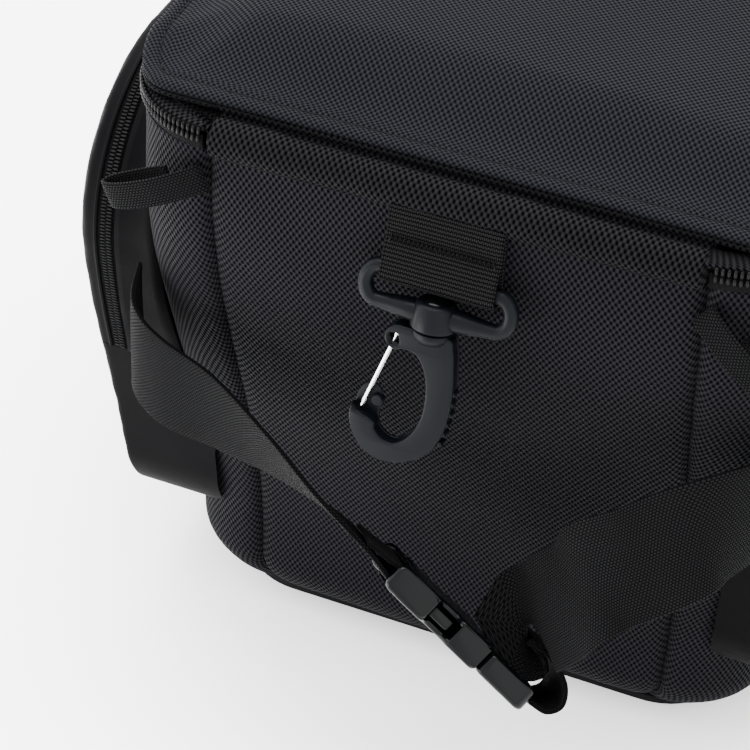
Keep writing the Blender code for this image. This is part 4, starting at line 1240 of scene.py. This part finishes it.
HOOK_BACK = [(-6.2, -5.4), (6.2, -5.4), (8.4, -9), (9.5, -15), (10.3, -23.5), (10.2, -31.4), (8.7, -40.3),
             (4.6, -47.6), (-3.2, -52.8), (-11.8, -53.7), (-18.2, -50.1), (-22.0, -43.6), (-22.6, -38.0),
             (-21.2, -32.6), (-18.4, -30.0), (-15.2, -30.4), (-13.7, -33.4), (-13.9, -37.4), (-13.9, -40.6),
             (-13.4, -43.4), (-10.6, -46.0), (-6.4, -46.5), (-1.9, -42.6), (1.2, -35.4), (1.7, -27.0),
             (0.3, -19.6), (-2.9, -14.4), (-7.2, -13.1), (-11.1, -14.1), (-14.0, -12.0), (-14.4, -8.6),
             (-11.6, -5.6)]
HOOK_FRONT_NOSE = [(-22.5, -37.4), (-20.7, -38.7), (-14.1, -40.9)]


def hook_outline(points):
    path = smooth_path([Vector((x, z, 0)) * MM for x, z in points], 4, closed=True)
    return [(p.x, p.y) for p in path]


def snap_hook():
    """The hook: two joined layers with a recess for the gate, teeth on the spine, a collar and a stem."""
    back = plate("hook_back", [hook_outline(HOOK_BACK)], -3.2 * MM, -1.8 * MM, 0.65 * MM,
                 HOOK_PLASTIC, HOOK_FACE)
    front_points = HOOK_BACK[:12] + HOOK_FRONT_NOSE + HOOK_BACK[19:]
    lug_slot = rounded([(-13.4, -8.9), (-10.2, -8.2), (-9.4, -11.8), (-12.4, -12.6)], 0.7)
    front = plate("hook_front", [hook_outline(front_points), lug_slot], -1.9 * MM, 3.2 * MM, 0.75 * MM,
                  HOOK_PLASTIC, HOOK_FACE)
    pieces = [back, front]
    for i in range(6):
        s = 24.2 + 3.7 * i
        x = 10.35 - 0.0045 * max(s - 26, 0) ** 2.05
        lean = 0.01 * (s - 24)
        tooth = [(-1.2, 1.0), (0.35 - lean, 0.75), (0.85 - lean, -0.35), (0.2 - lean, -0.9), (-1.2, -0.9)]
        tooth = rounded([(x + dx, -s + dz) for dx, dz in tooth], 0.45)
        pieces.append(plate("tooth", [tooth], -2.2 * MM, 2.2 * MM, 0.3 * MM, HOOK_PLASTIC, HOOK_FACE))
    boss_at = HOOK_FACE @ Matrix.Translation((-14.9 * MM, -35.0 * MM, -1.2 * MM))
    boss = [(2.1, -1.5), (2.1, 0.6), (1.7, 1.1), (0, 1.2)]
    pieces.append(lathe_mm("boss", boss, HOOK_PLASTIC, boss_at, 28))
    collar = [(2.0, -4.6), (5.6, -4.6), (6.5, -5.0), (6.7, -5.9), (6.3, -7.2), (5.2, -8.6), (3.0, -9.8),
              (0, -10)]
    pieces.append(lathe_mm("collar", collar, HOOK_PLASTIC, HOOK_PLACE))
    place(join("hook_body", pieces), "hook", "hook", "hook_body")
    stem = [(0, 6.6), (1.6, 6.5), (3.0, 6.1), (4.0, 5.5), (4.4, 5.15), (2.4, 5.1), (2.4, -5.0), (0, -5.0)]
    place(lathe_mm("hook_stem", stem, BUCKLE_PLASTIC, HOOK_PLACE), "hook", "hook", "hook_stem")
    wire = []
    top, low = Vector((-11.2, 0, -9.6)), Vector((-19.2, 0, -36.9))
    for y in (-0.95, 0.95):
        wire.append([top + Vector((0, y, 0)), low + Vector((0, y * 0.95, 0))])
    turn = [low + Vector((-0.2, 0.7 * math.cos(t), -0.75 * math.sin(t))) for t in np.linspace(math.pi, 0, 9)]
    loop = [wire[0][0]] + [p + Vector((0, 0, -0.3)) for p in turn] + [wire[1][0]]
    gate = tube("gate_wire", [tuple(p * MM) for p in loop], 0.58 * MM, STEEL, HOOK_PLACE, sides=16)
    crimp_ends = [(-11.2 * MM, 0.0, -9.2 * MM), (-12.0 * MM, 0.0, -12.2 * MM)]
    crimp = tube("gate_crimp", crimp_ends, 1.25 * MM, STEEL, HOOK_PLACE, sides=16)
    place(join("hook_gate", [gate, crimp]), "hook_gate", "steel", "hook_gate")


# ---------------------------------------------------------------- rear strap and buckle

BUCKLE_PLACE = axes_at(BUCKLE_START, BUCKLE_END - BUCKLE_START, BUCKLE_WIDTH_DIR)
BUCKLE_FLAT = BUCKLE_PLACE @ Matrix.Diagonal((1, 1, 0.80, 1))
BUCKLE_SIDE = BUCKLE_FLAT @ Matrix.Rotation(math.radians(90), 4, "X")


def buckle_plate(name, outlines, low, high, edge, rounds=3, matrix=BUCKLE_FLAT):
    return plate(name, outlines, low * MM, high * MM, edge * MM, BUCKLE_PLASTIC, matrix, rounds)


def side_release_buckle():
    """Receiver and plug. Local X runs from the receiver to the plug, and Y across the width."""
    slot = rectangle(5.2, -19.5, 9.9, 19.5, 1.0)
    skin = [(4.4, -22.0), (6, -22.8), (14, -23), (18, -22.6), (19.6, -18.6), (26.5, -18.6), (28.5, -22.6),
            (40, -23), (42, -21), (42, 21), (40, 23), (28.5, 22.6), (26.5, 18.6), (19.6, 18.6), (18, 22.6),
            (14, 23), (6, 22.8), (4.4, 22.0)]
    skin = rounded(skin, 2.2)
    pieces = [
        buckle_plate("shell_top", [skin, slot], 3.3, 6.5, 1.3, 5),
        buckle_plate("shell_low", [skin, slot], -6.5, -3.3, 1.3, 5),
        buckle_plate("bar_first", [rectangle(0.6, -22, 3.2, 22, 1.0)], -1.5, 1.5, 0.9),
        buckle_plate("bar_third", [rectangle(9.9, -22, 13.0, 22, 1.0)], -5.4, 5.4, 1.0),
    ]
    for sign in (-1, 1):
        low, high = sorted((sign * 19.4, sign * 23.0))
        cheek = rectangle(0.2, -6.4, 18.4, 6.4, 3.6)
        pieces.append(buckle_plate("cheek", [cheek], low, high, 1.7, 6, BUCKLE_SIDE))
        low, high = sorted((sign * 21.1, sign * 22.9))
        pieces.append(buckle_plate("rail", [rectangle(29, low, 41.8, high, 0.8)], -5.6, 5.6, 0.8))
    pieces.append(buckle_plate("ridge", [rectangle(31, -13, 39, 13, 3.0)], 5.8, 7.0, 0.55, 4))
    place(join("buckle_receiver", pieces), "bag_body", "buckle", "buckle_receiver")

    block = [(42.3, -21), (44, -23), (61, -23), (63.3, -20.5), (63.3, 20.5), (61, 23), (44, 23), (42.3, 21)]
    block = rounded(block, 2.0)
    slots = [rectangle(50.6, -19.5, 53.4, 19.5, 1.1), rectangle(57.2, -19.5, 60.0, 19.5, 1.1)]
    pieces = [buckle_plate("plug_block", [block] + slots, -5.5, 5.5, 1.9, 6)]
    pieces.append(buckle_plate("tongue", [rectangle(15.5, -3, 46, 3, 1.2)], -2.5, 2.5, 0.8))
    for sign in (-1, 1):
        arm = [(3, 15.5), (-14.5, 17.0), (-15, 20.6), (-23.5, 20.6), (-28.5, 15.0), (-27, 12.6), (-14, 13.4),
               (3, 11.5)]
        arm = rounded([(42 + x, sign * y) for x, y in arm][::sign], 1.4)
        pieces.append(buckle_plate("arm", [arm], -2.5, 2.5, 0.9))
    place(join("buckle_plug", pieces), "buckle_plug", "buckle", "buckle_plug")


def buckle_point(x, z):
    """A place given in millimetres along and above the buckle, in millimetres in the world."""
    return BUCKLE_PLACE @ (Vector((x, 0, z)) * MM) / MM


def rear_straps():
    width_dir = BUCKLE_PLACE.to_3x3() @ Vector((0, 1, 0))
    upright = Vector((0, 0, 1))
    left = [
        ((-118.4, -110.4, 147), upright),
        ((-112, -129, 144.5), upright),
        ((-98.6, -138.5, 140), upright),
        ((-77, -143, 137), upright.lerp(width_dir, 0.2)),
        ((-54, -149, 132), upright.lerp(width_dir, 0.55)),
        ((-34, -154, 124), upright.lerp(width_dir, 0.85)),
        ((-20, -155.5, 115.6), width_dir),
    ]
    wrapped = ((-7, 1.5), (-1, 2.5), (1.9, 2.9), (4.5, 0), (1.9, -2.9), (-3, -2.4), (-12, -1.7))
    left += [(buckle_point(x, z), width_dir) for x, z in wrapped]
    strap = ribbon("left_rear_strap", left, WEB_WIDTH, WEB_THICK, WEBBING, 10, cup=-0.5 * MM)
    place(strap, "bag_body", "webbing", "left_rear_strap")
    lean = Vector((-0.1, 0.35, 0.93))
    turned = ((50, -16), (60, -16), (69, -13), (73.5, -7), (71, -1.5), (64.6, 0))
    right = [
        ((118.4, -110.4, 158), upright),
        ((113, -131, 158), upright.lerp(lean, 0.4)),
        ((98, -152, 157), lean),
        ((81, -161, 146), lean),
        ((67.5, -164, 136), lean),
        ((59, -163, 122), lean),
        ((50, -158.5, 107), lean.lerp(width_dir, 0.4)),
    ]
    right += [(buckle_point(x, z), width_dir) for x, z in turned]
    strap = ribbon("right_rear_strap", right, WEB_WIDTH, WEB_THICK, WEBBING, 10, cup=0.5 * MM)
    place(strap, None, "webbing", "right_rear_strap")
    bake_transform(strap)


# ---------------------------------------------------------------- carried-over nodes, camera and light

def stiffener():
    """The stiff board inside the base keeps its CAD shape."""
    board = Net("base_board_sheet", (0.03, 0.03, 0.03), 0.55)
    board.bump(board.noise(300, 4), 0.1 * MM, 0.6)
    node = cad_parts["base_board"]
    node.data.materials.clear()
    node.data.materials.append(board.material)


def studio():
    camera_data = bpy.data.cameras.new("camera")
    camera_data.lens = 126.1
    camera_data.sensor_width = 36
    camera_data.clip_start, camera_data.clip_end = 0.01, 20
    camera = bpy.data.objects.new("camera", camera_data)
    bpy.context.scene.collection.objects.link(camera)
    right, up = Vector((0.92553, 0.37648, 0.04075)), Vector((-0.27103, 0.58342, 0.76561))
    back = right.cross(up)
    camera.matrix_world = Matrix.Translation((0.20496, -0.75073, 0.71583)) @ Matrix(
        (right, up, back)).transposed().to_4x4()
    bpy.context.scene.camera = camera

    world = bpy.data.worlds.new("studio")
    world.use_nodes = True
    world.node_tree.nodes["Background"].inputs["Color"].default_value = (1, 1, 1, 1)
    world.node_tree.nodes["Background"].inputs["Strength"].default_value = 5.0
    bpy.context.scene.world = world

    floor_net = Net("pale_floor", (0.92, 0.92, 0.92), 0.7)
    floor_net.bump(floor_net.noise(20, 3), 0.1 * MM, 0.1)
    floor_mesh = bpy.data.meshes.new("floor")
    reach, ground = 4.0, -0.6 * MM
    floor_mesh.from_pydata([(-reach, -reach, ground), (reach, -reach, ground), (reach, reach, ground),
                            (-reach, reach, ground)], [], [(0, 1, 2, 3)])
    floor = mesh_object("floor", floor_mesh, floor_net.material, smooth=False)
    lamps = [("overhead", (-0.2, 0.25, 1.6), (0, 0, 0.2), 1.6, 1.2, 100),
             ("left_softbox", (-1.5, -0.5, 0.9), (0, 0, 0.15), 1.2, 1.2, 22),
             ("right_fill", (1.3, -1.2, 0.8), (0, 0, 0.15), 1.2, 1.2, 9),
             ("low_bounce", (-0.28, -0.42, 0.10), (-0.06, -0.13, 0.03), 0.25, 0.15, 2.2)]
    for name, at, aim, width, height, power in lamps:
        light = bpy.data.lights.new(name, "AREA")
        light.shape = "RECTANGLE"
        light.size, light.size_y = width, height
        light.energy = power
        lamp = bpy.data.objects.new(name, light)
        lamp.visible_camera = False
        bpy.context.scene.collection.objects.link(lamp)
        lamp.location = at
        lamp.rotation_euler = (Vector(aim) - Vector(at)).to_track_quat("-Z", "Y").to_euler()


body()
lid()
lid_zip()
webbing_bits()
carry_handle()
pockets()
hook_webbing()
hook_bail()
snap_hook()
side_release_buckle()
rear_straps()
stiffener()
studio()
